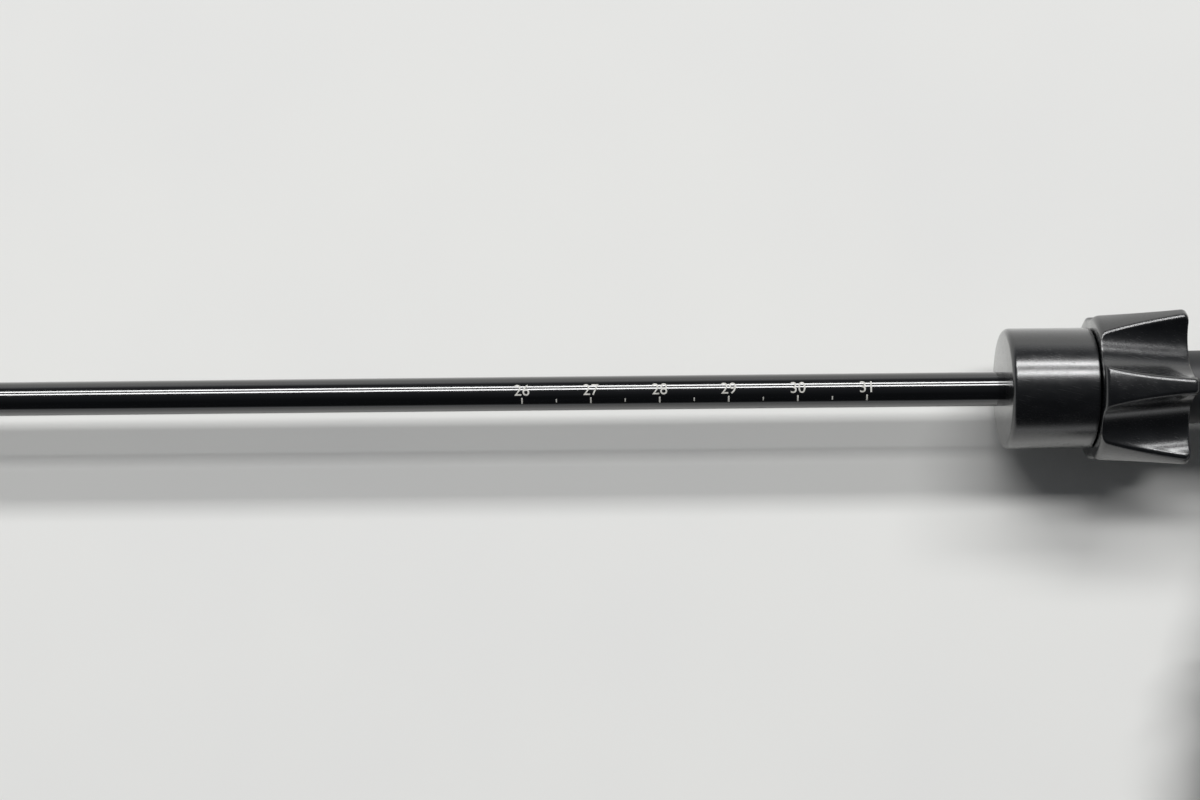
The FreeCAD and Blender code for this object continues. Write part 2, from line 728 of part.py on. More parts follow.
def make_friction_ring():
    ring = doc.addObject("Part::Torus", "friction_ring")
    set_size(ring, "Radius1", s.neck_radius - s.cord_radius)
    set_size(ring, "Radius2", s.cord_radius)
    return keep("friction_ring", ring, x=friction_place(), axis=(0, 1, 0), angle=90)


def make_neck_bush():
    inner = s.tail_radius + s.running_gap
    start = s.neck_start + s.bush_setback
    body = turned("neck_bush", ring_profile(start, start + s.bush_length, inner, inner + s.bush_wall))
    return keep("neck_bush", body)


# Fork and jaws at the far end
def jaw_pivot_x():
    return -(s.shaft_length + s.fork_length)


def stroke():
    """The rod's travel while the thumb lever swings."""
    return 2 * s.pivot_drop * tangent(s.swing / 2)


def make_fork():
    radius, shoulder = s.fork_radius, s.fork_length
    spigot = s.shaft_radius - s.sleeve_wall - s.tube_wall - s.seat_gap
    end = shoulder + s.fork_spigot_length
    nose = 0.98 * radius
    start = radius / 10
    body = new_body("jaw_fork")
    side = new_sketch(body)
    outline(side, [
        (start, 2 * radius),
        (start, radius),
        (-radius, radius, nose),
        (-radius, -radius, nose),
        (start, -radius),
        (start, -2 * radius),
        (shoulder, -2 * radius),
        (shoulder, 2 * radius),
    ])
    pad(body, side, 4 * radius, symmetric=True)
    waste = new_sketch(body)
    outline(waste, ring_profile(-2 * radius, shoulder + EXTRA, radius, 4 * radius))
    revolve(body, waste, kind="PartDesign::Groove")
    stem = new_sketch(body)
    outline(stem, bar_profile(shoulder - EXTRA, end, spigot, 0)[:2] + [(end, spigot, 0.3), (end, 0)])
    revolve(body, stem)
    slot = new_sketch(body, "XZ_Plane")
    half = s.fork_slot_width / 2
    outline(slot, [
        (-2 * radius, half),
        (s.fork_slot_length, half, 0.4),
        (s.fork_slot_length, -half, 0.4),
        (-2 * radius, -half),
    ])
    pocket(body, slot, 6 * radius, symmetric=True)
    bore = new_sketch(body)
    outline(bore, bar_profile(s.fork_slot_length - 1, end + EXTRA, s.fork_bore, 0))
    revolve(body, bore, kind="PartDesign::Groove")
    hole = new_sketch(body)
    circle(hole, (0, 0), s.jaw_pin_radius + s.seat_gap)
    pocket(body, hole, 6 * radius, symmetric=True)
    return keep("jaw_fork", body, x=jaw_pivot_x())


def make_jaw_pin():
    half = s.fork_radius - 0.1
    corners = [(-half, 0), (-half, s.jaw_pin_radius, 0.2), (half, s.jaw_pin_radius, 0.2), (half, 0)]
    return keep("jaw_pivot_pin", turned("jaw_pivot_pin", corners, axis="Z"), x=jaw_pivot_x())


def cam_point(share):
    """The cam pin's place in the upper jaw's frame at a share of the opening."""
    reach = s.cam_closed - share * stroke()
    return reach * cosine(share * s.jaw_opening), reach * sine(share * s.jaw_opening)


def make_jaw(label, phase):
    """A jaw on the +Y side of the parting plane, its pivot at the origin and its tip towards -X."""
    root = s.fork_radius + 0.45
    half_slot = s.cam_pin_radius + s.cam_gap
    outer_face = s.fork_slot_width / 2 - s.running_gap
    body = new_body(label)
    profile = new_sketch(body)
    outline(profile, [
        (-s.jaw_length, 0),
        (-s.jaw_length, s.jaw_tip_radius, 0.8 * s.jaw_tip_radius),
        (-0.4 * s.jaw_length, s.jaw_radius, 2 * s.jaw_radius),
        (-root, s.jaw_radius, 0.3),
        (-root, 0),
    ])
    revolve(body, profile, angle=180, symmetric=True)
    neck = new_sketch(body, height=s.jaw_gap)
    outline(neck, [
        (-root - 1, s.jaw_gap),
        (-root - 1, s.boss_radius),
        (s.boss_radius, s.boss_radius, 0.98 * s.boss_radius),
        (s.boss_radius, -s.boss_radius, 0.98 * s.boss_radius),
        (-s.boss_radius, -s.boss_radius, 0.98 * s.boss_radius),
        (-s.boss_radius, s.jaw_gap),
    ])
    pad(body, neck, outer_face - s.jaw_gap)
    tail_end = s.cam_closed + half_slot + s.cam_wall
    tail_half = half_slot + s.cam_wall
    crest = cam_point(sized(0.8))
    tail = new_sketch(body, height=outer_face - s.tail_thickness)
    outline(tail, [
        (0, -0.7 * s.boss_radius),
        (tail_end, -tail_half, 0.9 * tail_half),
        (tail_end, 0.9 * tail_half, 0.9 * tail_half),
        (crest[0], crest[1] + tail_half, tail_half),
        (0, 0.7 * s.boss_radius),
    ])
    pad(body, tail, s.tail_thickness)
    face = new_sketch(body)
    outline(face, [
        (-s.jaw_length - EXTRA, -s.jaw_radius),
        (-s.jaw_length - EXTRA, s.jaw_gap),
        (-s.boss_radius - 0.6, s.jaw_gap),
        (-s.boss_radius - 0.6, -s.jaw_radius),
    ])
    pocket(body, face, 4 * s.jaw_radius, symmetric=True)
    cut_teeth(body, root, phase)
    window = new_sketch(body, "XZ_Plane")
    half = s.window_width / 2
    ends = [(-s.window_end, half), (-s.window_end, -half), (-s.window_start, -half), (-s.window_start, half)]
    outline(window, [(x, z, 0.95 * half) for x, z in ends])
    pocket(body, window, 4 * s.jaw_radius, symmetric=True)
    holes = new_sketch(body)
    circle(holes, (0, 0), s.jaw_pin_radius + s.running_gap)
    pocket(body, holes, 4 * s.jaw_radius, symmetric=True)
    slot = new_sketch(body)
    arc_slot(slot, cam_point(sized(0)), cam_point(sized(0.5)), cam_point(sized(1)), half_slot)
    pocket(body, slot, 4 * s.jaw_radius, symmetric=True)
    return body


def cut_teeth(body, root, phase):
    """Cross grooves along the jaw's flat face."""
    first = root + s.tooth_pitch * (1 + phase)
    half = 0.46 * s.tooth_pitch
    groove = new_sketch(body)
    outline(groove, [(-first - half, 0), (-first, s.jaw_gap + s.tooth_depth), (-first + half, 0)])
    cut = pocket(body, groove, 4 * s.jaw_radius, symmetric=True)
    count = whole((s.jaw_length - first - s.tooth_pitch) / s.tooth_pitch)
    pattern_along(body, cut, "X_Axis", count, (count - 1) * s.tooth_pitch, backward=True)


def make_jaws():
    keep("upper_jaw", make_jaw("upper_jaw", 0), x=jaw_pivot_x())
    keep("lower_jaw", make_jaw("lower_jaw", 0.5), x=jaw_pivot_x(), axis=(1, 0, 0), angle=180)


# Drive rod
def ball_x():
    """The ball's centre on the shaft axis with the jaws closed."""
    return s.pivot_x + s.pivot_drop * tangent(s.swing / 2)


def make_rod():
    tang_start = s.cam_closed - s.cam_wall
    shoulder = s.cam_closed + s.cam_pin_radius + s.cam_gap + s.cam_wall + stroke() + 2 * s.running_gap
    ball = ball_x() - jaw_pivot_x()
    neck_start = ball - s.rod_neck_length
    half = s.tang_width / 2
    body = turned("drive_rod", [
        (shoulder, 0),
        (shoulder, s.rod_radius, 0.25),
        (neck_start, s.rod_radius, 0.25),
        (neck_start, s.rod_neck_radius),
        (ball, s.rod_neck_radius),
        (ball, 0),
    ])
    tang = new_sketch(body)
    ends = [(tang_start, half, 0.8 * half), (tang_start, -half, 0.8 * half)]
    outline(tang, ends + [(shoulder + EXTRA, -half), (shoulder + EXTRA, half)])
    pad(body, tang, s.tang_thickness, symmetric=True)
    hole = new_sketch(body)
    circle(hole, (s.cam_closed, 0), s.cam_pin_radius)
    pocket(body, hole, 4 * s.rod_radius, symmetric=True)
    return keep("drive_rod", body, x=jaw_pivot_x())


def make_cam_pin():
    half = s.fork_slot_width / 2 - 2 * s.running_gap
    body = turned("cam_pin", bar_profile(-half, half, s.cam_pin_radius, 0), axis="Z")
    return keep("cam_pin", body, x=jaw_pivot_x() + s.cam_closed)


def make_ball():
    ball = doc.addObject("Part::Sphere", "ball_blank")
    set_size(ball, "Radius", s.ball_radius)
    bore = doc.addObject("Part::Cylinder", "ball_bore")
    set_size(bore, "Radius", s.rod_neck_radius)
    set_size(bore, "Height", 2 * s.ball_radius)
    place(bore, x=-2 * s.ball_radius, axis=(0, 1, 0), angle=90)
    cut = doc.addObject("Part::Cut", "rod_ball")
    cut.Base, cut.Tool = ball, bore
    doc.recompute()
    return keep("rod_ball", cut, x=ball_x())


# Fixed handle
def pivot_point(x, y):
    """A point given from the lever's pivot, in the instrument's own frame."""
    return s.pivot_x + x, y - s.pivot_drop


def pawl_point():
    return below(s.pawl_pin_distance, s.pawl_pin_angle)


def handle_leg():
    """The leg and the finger loop in one plate."""
    side = s.loop_width / 2 + s.loop_band
    rise = s.loop_height / 2 + s.loop_band
    left, right = s.loop_centre_x - side, s.loop_centre_x + side
    top, bottom = rise - s.loop_drop, -rise - s.loop_drop
    body = new_body("handle_leg")
    sketch = new_sketch(body)
    outline(sketch, [
        (s.barrel_start + 4, -4, 2),
        (s.leg_back + 3.5, -4, 2),
        (s.leg_back + 1.5, -(s.pivot_drop + 7), 4),
        (s.leg_back, top + 5.5, 6),
        (right, top, 10),
        (right, bottom, 0.97 * side),
        (left, bottom, 0.97 * side),
        (left, top, 8),
        (s.leg_front, top + 7.5, 5),
        (s.leg_front, top + 21.5, 6),
        (s.leg_front + 6.5, -s.pivot_drop - 5, 6),
    ])
    across, along = s.loop_width / 2, s.loop_height / 2
    loop = [(across, along), (across, -along), (-across, -along), (-across, along)]
    outline(sketch, [(s.loop_centre_x + x, y - s.loop_drop, 0.97 * across) for x, y in loop])
    pad(body, sketch, s.leg_thickness, symmetric=True)
    round_edges(body, s.leg_rounding, in_plane(s.leg_thickness / 2))
    return body


def handle_head():
    """The cheeks round the lever's pivot, still without their slot."""
    body = new_body("handle_head")
    sketch = new_sketch(body)
    outline(sketch, [
        (s.barrel_start + 15, s.head_top, 3),
        (s.head_back, s.head_top, 6),
        (s.head_back, -s.pivot_drop - 8, 5),
        (s.leg_back + 3.5, -s.pivot_drop - 12, 4),
        (s.barrel_start + 13, -s.pivot_drop - 2, 6),
    ])
    pad(body, sketch, s.head_thickness, symmetric=True)
    round_edges(body, s.head_rounding, in_plane(s.head_thickness / 2))
    return body


def handle_barrel():
    end = s.barrel_start + s.barrel_length
    corners = [
        (s.barrel_start, 0),
        (s.barrel_start, s.barrel_radius, 1),
        (end, s.barrel_radius, s.barrel_rounding),
        (end, 0),
    ]
    return turned("handle_barrel", corners)


def handle_boss():
    """The round boss that carries the current post's insulator."""
    radius = s.insulator_flange_radius + 0.5
    boss = turned("handle_boss", [(0, 0), (0, radius), (s.boss_top, radius, 0.4), (s.boss_top, 0)], axis="Y")
    place(boss, x=s.post_x)
    return boss


def make_fixed_handle():
    blank = doc.addObject("Part::MultiFuse", "handle_blank")
    blank.Shapes = [handle_barrel(), handle_head(), handle_leg(), handle_boss()]
    blank.Refine = True
    doc.recompute()
    body = new_body("fixed_handle")
    body.BaseFeature = blank
    doc.recompute()
    seat_end = s.barrel_start + s.neck_spigot_length
    rod_way = s.rod_radius + 0.7
    bore = new_sketch(body, "XZ_Plane")
    outline(bore, [
        (s.barrel_start - EXTRA, 0),
        (s.barrel_start - EXTRA, s.neck_spigot_radius),
        (seat_end, s.neck_spigot_radius),
        (seat_end, rod_way),
        (s.pivot_x, rod_way),
        (s.pivot_x, 0),
    ])
    revolve(body, bore, kind="PartDesign::Groove")
    cut_lever_slot(body)
    cut_ratchet_slots(body)
    cut_handle_holes(body)
    return keep("fixed_handle", body)


def cut_lever_slot(body):
    """The slot between the cheeks, closed above and behind the lever's head."""
    roof = s.socket_top + 2
    wall = s.socket_width / 2 + 3.5
    sketch = new_sketch(body)
    outline(sketch, [
        (*pivot_point(-wall, roof), 1),
        (*pivot_point(wall, roof), 1),
        (*pivot_point(wall, s.socket_bottom + 2), 1),
        pivot_point(3 * wall, 0),
        pivot_point(3 * wall, -5 * wall),
        pivot_point(-wall + 0.3, -5 * wall),
    ])
    pocket(body, sketch, s.lever_thickness + 2 * s.side_gap, symmetric=True)


def cut_ratchet_slots(body):
    """The curved slot for the ratchet bar and the room for the pawl, in the leg's middle plane."""
    width = s.bar_thickness + 2 * s.side_gap
    base = new_sketch(body)
    place_sketch(base, s.pivot_x, -s.pivot_drop)
    sector(base, s.bar_inner - 0.3, s.bar_outer + 0.3, sized(95), sized(150))
    pocket(body, base, width, symmetric=True)
    x, y = pawl_point()
    room = new_sketch(body)
    place_sketch(room, s.pivot_x + x, y - s.pivot_drop)
    outline(room, [
        (13, 3, 1),
        (13, -6.6, 0.4),
        (-2, -6.2, 2),
        (-s.trigger_front, -5.4),
        (-s.trigger_front, 2.6),
        (-3.5, 4.5),
        (2, 6),
    ])
    pocket(body, room, width, symmetric=True)


def place_sketch(sketch, x, y):
    """Moves a sketch's origin in its own plane."""
    for letter, number in (("x", x), ("y", y)):
        setattr(sketch.AttachmentOffset.Base, letter, sized(number).value)
        sketch.setExpression(f"AttachmentOffset.Base.{letter}", sized(number).formula)
    doc.recompute()


def cut_handle_holes(body):
    x, y = pawl_point()
    through = new_sketch(body)
    circle(through, pivot_point(0, 0), s.pivot_screw_radius + s.seat_gap)
    circle(through, pivot_point(x, y), s.pawl_pin_radius + s.seat_gap)
    circle(through, (s.neck_pin_x, s.neck_spigot_radius), s.neck_pin_radius + s.seat_gap)
    pocket(body, through, 4 * s.barrel_radius, symmetric=True)
    floor = s.head_thickness / 2 - s.screw_head_height
    for level, backward in ((floor, True), (-floor, False)):
        recess = new_sketch(body, height=level)
        circle(recess, pivot_point(0, 0), s.screw_head_radius + s.running_gap)
        pocket(body, recess, s.head_thickness, backward=backward)
    hole = new_sketch(body, "XZ_Plane")
    circle(hole, (s.post_x, 0), s.post_stem_radius + s.insulator_wall + 2 * s.seat_gap)
    pocket(body, hole, 2 * s.barrel_radius)


def make_pivot_screw():
    face = s.head_thickness / 2
    floor = face - s.screw_head_height
    corners = [
        (-face + 0.1, 0),
        (-face + 0.1, s.screw_thread_radius),
        (-floor, s.screw_thread_radius),
        (-floor, s.pivot_screw_radius),
        (floor, s.pivot_screw_radius),
        (floor, s.screw_head_radius),
        (face, s.screw_head_radius, 0.4),
        (face, 0),
    ]
    body = turned("pivot_screw", corners, axis="Z")
    slot = new_sketch(body, height=face)
    reach, half = s.screw_head_radius + EXTRA, s.screw_head_radius / 8
    outline(slot, [(-reach, -half), (reach, -half), (reach, half), (-reach, half)])
    pocket(body, slot, s.screw_head_height / 2)
    x, y = pivot_point(0, 0)
    return keep("pivot_screw", body, x=x, y=y)


def make_pivot_nut():
    face = s.head_thickness / 2
    corners = [
        (-face, s.screw_thread_radius),
        (-face, s.screw_head_radius, 0.4),
        (s.screw_head_height - face, s.screw_head_radius),
        (s.screw_head_height - face, s.screw_thread_radius),
    ]
    x, y = pivot_point(0, 0)
    return keep("pivot_nut", turned("pivot_nut", corners, axis="Z"), x=x, y=y)


def make_pin(label, radius, length, x, y):
    """A plain pin across the instrument, centred on its middle plane."""
    body = turned(label, bar_profile(-length / 2, length / 2, radius, radius / 4), axis="Z")
    return keep(label, body, x=x, y=y)


# Current post
def make_contact_block():
    end = s.barrel_start + s.neck_spigot_length
    profile = ring_profile(end - s.contact_length, end, s.rod_radius + s.running_gap, s.neck_back_bore)
    body = turned("contact_block", profile)
    foot = new_sketch(body, "XZ_Plane", -s.post_foot_end)
    circle(foot, (s.post_x, 0), s.post_foot_radius)
    pocket(body, foot, s.neck_back_bore)
    return keep("contact_block", body)


def make_post():
    corners = [
        (s.post_foot_end, 0),
        (s.post_foot_end, s.post_foot_radius),
        (s.neck_back_bore, s.post_foot_radius),
        (s.neck_back_bore, s.post_stem_radius),
        (s.insulator_top, s.post_stem_radius),
        (s.insulator_top, s.post_radius),
        (s.post_top, s.post_radius, 0.8),
        (s.post_top, 0),
    ]
    return keep("current_post", turned("current_post", corners, axis="Y"), x=s.post_x)


def make_insulator():
    inner = s.post_stem_radius + s.seat_gap
    corners = [
        (s.neck_back_bore, inner),
        (s.neck_back_bore, inner + s.insulator_wall),
        (s.boss_top, inner + s.insulator_wall),
        (s.boss_top, s.insulator_flange_radius),
        (s.insulator_top, s.insulator_flange_radius - 0.8, 0.5),
        (s.insulator_top, inner),
    ]
    return keep("post_insulator", turned("post_insulator", corners, axis="Y"), x=s.post_x)


# Thumb lever
def make_thumb_lever():
    half_turn = -s.swing / 2
    outer = s.thumb_ring_inner + s.thumb_ring_band
    left, right = s.ring_offset - outer, s.ring_offset + outer
    top, bottom = outer - s.ring_drop, -outer - s.ring_drop
    head = s.socket_width / 2
    body = new_body("thumb_lever")
    sketch = new_sketch(body)
    outline(sketch, [
        (*turned_point((-head, s.socket_top), half_turn), s.lever_rounding + 0.2),
        (*turned_point((head, s.socket_top), half_turn), s.lever_rounding + 0.2),
        (head + 2.5, -1, 6),
        (left + 6.5, top + 1.5, 6),
        (right, top, 0.9 * outer),
        (right, bottom, 0.97 * outer),
        (left, bottom, 0.97 * outer),
        (left, top - 6, 8),
        (-head - 1.5, -3, 9),
    ])
    circle(sketch, (s.ring_offset, -s.ring_drop), s.thumb_ring_inner)
    pad(body, sketch, s.lever_thickness, symmetric=True)
    round_edges(body, s.lever_rounding, in_plane(s.lever_thickness / 2))
    fork = new_sketch(body)
    reach = 2 * head
    ends = [(-reach, s.socket_bottom), (reach, s.socket_bottom), (reach, 2 * reach), (-reach, 2 * reach)]
    outline(fork, [turned_point(end, half_turn) for end in ends])
    pocket(body, fork, s.socket_thickness + 2 * s.seat_gap, symmetric=True)
    bar_room = new_sketch(body)
    sector(bar_room, s.bar_inner, s.bar_outer, s.bar_first, sized(100))
    pocket(body, bar_room, s.bar_thickness + 2 * s.seat_gap, symmetric=True)
    holes = new_sketch(body)
    circle(holes, (0, 0), s.pivot_screw_radius + s.running_gap + s.lever_bush_wall)
    circle(holes, turned_point((0, socket_pin_height()), half_turn), s.socket_pin_radius)
    for angle in rivet_angles():
        circle(holes, below((s.bar_inner + s.bar_outer) / 2, angle), s.rivet_radius)
    pocket(body, holes, 2 * s.lever_thickness, symmetric=True)
    x, y = pivot_point(0, 0)
    return keep("thumb_lever", body, x=x, y=y)


def socket_pin_height():
    return s.socket_bottom + s.socket_pin_radius + 0.4


def rivet_angles():
    return s.bar_first + 3, s.bar_first + 9.5


def make_lever_bush():
    inner = s.pivot_screw_radius + s.running_gap
    half = s.lever_thickness / 2
    body = turned("lever_bush", ring_profile(-half, half, inner, inner + s.lever_bush_wall), axis="Z")
    x, y = pivot_point(0, 0)
    return keep("lever_bush", body, x=x, y=y)


def make_ball_socket():
    """A block with a round channel for the ball and a slot for the rod's neck, both open above."""
    half = s.socket_width / 2
    channel = s.ball_radius + s.ball_gap
    floor = s.pivot_drop - channel - 0.1
    body = new_body("ball_socket")
    block = new_sketch(body)
    outline(block, [
        (-half, s.socket_bottom),
        (half, s.socket_bottom),
        (half, s.socket_top, 1),
        (-half, s.socket_top, 1),
    ])
    pad(body, block, s.socket_thickness, symmetric=True)
    well = new_sketch(body, "XZ_Plane", -floor)
    circle(well, (0, 0), channel)
    pocket(body, well, s.socket_top)
    way = new_sketch(body)
    outline(way, [(-2 * half, floor), (0, floor), (0, 2 * s.socket_top), (-2 * half, 2 * s.socket_top)])
    pocket(body, way, 2 * (s.rod_neck_radius + s.side_gap), symmetric=True)
    hole = new_sketch(body)
    circle(hole, (0, socket_pin_height()), s.socket_pin_radius)
    pocket(body, hole, 2 * s.socket_thickness, symmetric=True)
    x, y = pivot_point(0, 0)
    keep("ball_socket", body, x=x, y=y)
    body.Placement.Rotation = FreeCAD.Rotation(FreeCAD.Vector(0, 0, 1), -s.swing.value / 2)
    body.setExpression("Placement.Rotation.Angle", "-Sizes.swing / 2")
    return body


def make_socket_pin():
    x, y = turned_point((0, socket_pin_height()), -s.swing / 2)
    return make_pin("socket_pin", s.socket_pin_radius, s.lever_thickness - 0.1, *pivot_point(x, y))


# Ratchet
def make_ratchet_bar():
    body = new_body("ratchet_bar")
    blank = new_sketch(body)
    sector(blank, s.bar_inner, s.bar_outer, s.bar_first, s.bar_last)
    pad(body, blank, s.bar_thickness, symmetric=True)
    step = s.ratchet_pitch
    first = s.nose_angle - step
    gap = new_sketch(body)
    outline(gap, [
        below(s.bar_outer + s.ratchet_depth / 2, first - 0.6 * step),
        below(s.bar_outer - s.ratchet_depth, first + 0.4 * step),
        below(s.bar_outer + s.ratchet_depth / 2, first + 0.5 * step),
    ])
    cut = pocket(body, gap, 2 * s.bar_thickness, symmetric=True)
    count = whole(s.swing / step + 3)
    teeth = pattern_round(body, cut, "Z_Axis", count, (count - 1) * step)
    teeth.Reversed = True
    doc.recompute()
    holes = new_sketch(body)
    for angle in rivet_angles():
        circle(holes, below((s.bar_inner + s.bar_outer) / 2, angle), s.rivet_radius)
    pocket(body, holes, 2 * s.bar_thickness, symmetric=True)
    x, y = pivot_point(0, 0)
    return keep("ratchet_bar", body, x=x, y=y)


def make_rivets():
    rivets = []
    for angle in rivet_angles():
        rivet = doc.addObject("Part::Cylinder", "rivet")
        set_size(rivet, "Radius", s.rivet_radius)
        set_size(rivet, "Height", s.lever_thickness - 0.1)
        x, y = below((s.bar_inner + s.bar_outer) / 2, angle)
        place(rivet, *pivot_point(x, y), (0.1 - s.lever_thickness) / 2)
        rivets.append(rivet)
    pair = doc.addObject("Part::MultiFuse", "ratchet_rivets")
    pair.Shapes = rivets
    doc.recompute()
    return keep("ratchet_rivets", pair)


def nose_corner(radius, angle):
    """A corner of the pawl's nose, given round the lever's pivot with the pawl engaged."""
    x, y = below(radius, angle)
    pin_x, pin_y = pawl_point()
    return turned_point((x - pin_x, y - pin_y), -s.pawl_swing)


def make_pawl():
    """The pawl with its released place as its own frame, the pin's hole at the origin."""
    step = s.ratchet_pitch
    base = s.bar_outer + 0.35
    tip = s.bar_outer - s.ratchet_depth + 0.12
    arm_end = s.trigger_depth / 2 - s.trigger_front
    body = new_body("ratchet_pawl")
    sketch = new_sketch(body)
    outline(sketch, [
        (2.9, 1.3, 1.5),
        nose_corner(base + 0.1, s.nose_angle + 1.3 * step),
        nose_corner(base, s.nose_angle + 0.4 * step),
        nose_corner(tip, s.nose_angle + 0.33 * step),
        nose_corner(base, s.nose_angle - 0.25 * step),
        (*nose_corner(base + 0.2, s.nose_angle - 0.9 * step), 0.4),
        (10.2, -4.4, 0.6),
        (0.5, -3.6, 2),
        (-3.6, -2.9, 2),
        (arm_end, -2.6),
        (arm_end, 0.9),
        (-4, 0.9, 1.5),
        (-2.6, 3.2, 1.2),
    ])
    circle(sketch, (0, 0), s.pawl_pin_radius + s.running_gap)
    pad(body, sketch, s.bar_thickness, symmetric=True)
    back = s.trigger_depth - s.trigger_front
    finger = new_sketch(body)
    outline(finger, [
        (back, s.trigger_top, 0.7),
        (-s.trigger_front, s.trigger_top, 0.8),
        (s.trigger_hollow - s.trigger_front, (s.trigger_top - s.trigger_bottom) / 2, 5),
        (-s.trigger_front, -s.trigger_bottom, 0.7),
        (back - 0.7, -s.trigger_bottom, 0.6),
        (back, -s.trigger_bottom / 2, 1),
    ])
    pad(body, finger, s.trigger_width, symmetric=True)
    round_edges(body, 0.6, in_plane(s.trigger_width / 2))
    x, y = pawl_point()
    x, y = pivot_point(x, y)
    return keep("ratchet_pawl", body, x=x, y=y)


def make_pawl_spring():
    """A leaf in the pawl's room, held in its back wall and free below the pawl's arm."""
    deep = s.spring_thickness
    body = new_body("pawl_spring")
    sketch = new_sketch(body)
    outline(sketch, [
        (13, -5.6),
        (9.5, -5.6, 1.4),
        (4.2, -4.65),
        (4.2, -4.65 - deep),
        (9.5, -5.6 - deep, 1),
        (13, -5.6 - deep),
    ])
    pad(body, sketch, s.bar_thickness - 0.2, symmetric=True)
    x, y = pawl_point()
    x, y = pivot_point(x, y)
    return keep("pawl_spring", body, x=x, y=y)


# The whole instrument
make_sleeve()
make_tube()
make_collar()
make_knob()
make_hub()
make_seal()
make_retaining_ring()
make_neck()
make_friction_ring()
make_neck_bush()
make_fork()
make_jaw_pin()
make_jaws()
make_rod()
make_cam_pin()
make_ball()
make_fixed_handle()
make_pivot_screw()
make_pivot_nut()
make_contact_block()
make_post()
make_insulator()
make_pin("neck_pin", s.neck_pin_radius, 11, s.neck_pin_x, s.neck_spigot_radius)
make_pin("pawl_pin", s.pawl_pin_radius, s.leg_thickness - 0.2, *pivot_point(*pawl_point()))
make_thumb_lever()
make_lever_bush()
make_ball_socket()
make_socket_pin()
make_ratchet_bar()
make_rivets()
make_pawl()
make_pawl_spring()

# Checks and export
doc.recompute()
for item in doc.Objects:
    if "Invalid" in item.State or "Error" in item.State:
        raise RuntimeError(f"{item.Label} failed: {item.State}")
    if item.TypeId in ("PartDesign::Pocket", "PartDesign::Groove"):
        if item.Shape.Volume > item.BaseFeature.Shape.Volume - 1e-6:
            raise RuntimeError(f"{item.Label} cuts nothing")
    if item.TypeId == "Sketcher::SketchObject" and not item.FullyConstrained:
        raise RuntimeError(f"{item.Label} is not fully constrained")
for piece in pieces:
    if piece.Shape.isNull() or not piece.Shape.isValid():
        raise RuntimeError(f"{piece.Label} has no valid shape")
for piece in pieces:
    piece.Shape.exportStep(f"parts/{piece.Label}.step")
    size = piece.Shape.BoundBox
    print(f"{piece.Label}: {len(piece.Shape.Solids)} solid(s), {piece.Shape.Volume:.1f} mm3, "
          f"x {size.XMin:.2f} to {size.XMax:.2f}")
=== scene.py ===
# %% [markdown]
# # A grasping forceps for keyhole surgery
# The instrument is one long black shaft with two small steel jaws at its far end, and a collar, a
# fluted knob and a pistol handle at the near end. The solids come from a CAD model that is already
# packed. This lesson dresses them: it makes finer meshes where light shows every facet, gives each
# piece the finish that its real material has, and sets up a plain studio round the object.

import math

import bmesh
import bpy
from mathutils import Matrix, Vector


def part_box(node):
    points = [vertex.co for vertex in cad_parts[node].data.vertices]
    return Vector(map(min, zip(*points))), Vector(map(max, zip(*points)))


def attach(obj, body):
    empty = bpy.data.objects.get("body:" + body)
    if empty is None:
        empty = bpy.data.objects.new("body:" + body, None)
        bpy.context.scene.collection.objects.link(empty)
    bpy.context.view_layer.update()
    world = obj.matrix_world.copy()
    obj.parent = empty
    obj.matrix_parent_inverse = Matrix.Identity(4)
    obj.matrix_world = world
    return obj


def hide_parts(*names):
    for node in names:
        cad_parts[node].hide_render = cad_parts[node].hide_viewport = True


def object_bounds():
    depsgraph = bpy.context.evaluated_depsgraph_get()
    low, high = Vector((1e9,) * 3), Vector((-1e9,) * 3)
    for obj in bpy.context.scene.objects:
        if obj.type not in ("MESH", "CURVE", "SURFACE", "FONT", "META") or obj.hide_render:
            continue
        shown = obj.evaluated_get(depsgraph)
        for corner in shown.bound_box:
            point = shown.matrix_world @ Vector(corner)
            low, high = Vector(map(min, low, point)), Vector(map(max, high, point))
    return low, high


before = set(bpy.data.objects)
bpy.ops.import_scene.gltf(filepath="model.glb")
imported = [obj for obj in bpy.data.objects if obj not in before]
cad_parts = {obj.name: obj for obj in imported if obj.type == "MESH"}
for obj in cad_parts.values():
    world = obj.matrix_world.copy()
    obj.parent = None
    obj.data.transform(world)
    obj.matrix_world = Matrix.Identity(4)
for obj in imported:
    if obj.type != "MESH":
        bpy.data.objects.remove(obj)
cad_low, cad_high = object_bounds()
MM = 0.001
print("size in mm:", [round((high - low) / MM, 1) for low, high in zip(cad_low, cad_high)])

# %% [markdown]
# ## Small helpers for finishes
# A finish is a tree of shader nodes. One helper adds a node with its settings and its links, and
# another turns a colour as it is picked on a screen into the linear one that the shader needs.
# Sizes of patterns are given in real millimetres, so that a grain looks right at any distance.

# %% Add a node, and turn a colour linear
FACTOR, COLOUR_A, COLOUR_B, MIXED = 0, 6, 7, 2   # sockets of the Mix node when it mixes colours


def add_node(tree, kind, links=None, **settings):
    """One node: settings are its own fields, links give each input a value or another node's output."""
    node = tree.nodes.new(kind)
    for field, value in settings.items():
        setattr(node, field, value)
    for name, value in (links or {}).items():
        if isinstance(value, bpy.types.NodeSocket):
            tree.links.new(value, node.inputs[name])
        else:
            node.inputs[name].default_value = value
    return node


def colour(hexadecimal):
    """An sRGB colour such as #1a2b3c as linear red, green, blue and alpha."""
    shares = [int(hexadecimal[i:i + 2], 16) / 255 for i in (1, 3, 5)]
    return (*(c / 12.92 if c <= 0.04045 else ((c + 0.055) / 1.055) ** 2.4 for c in shares), 1.0)


print("black plastic in linear light:", [round(c, 4) for c in colour("#101113")])

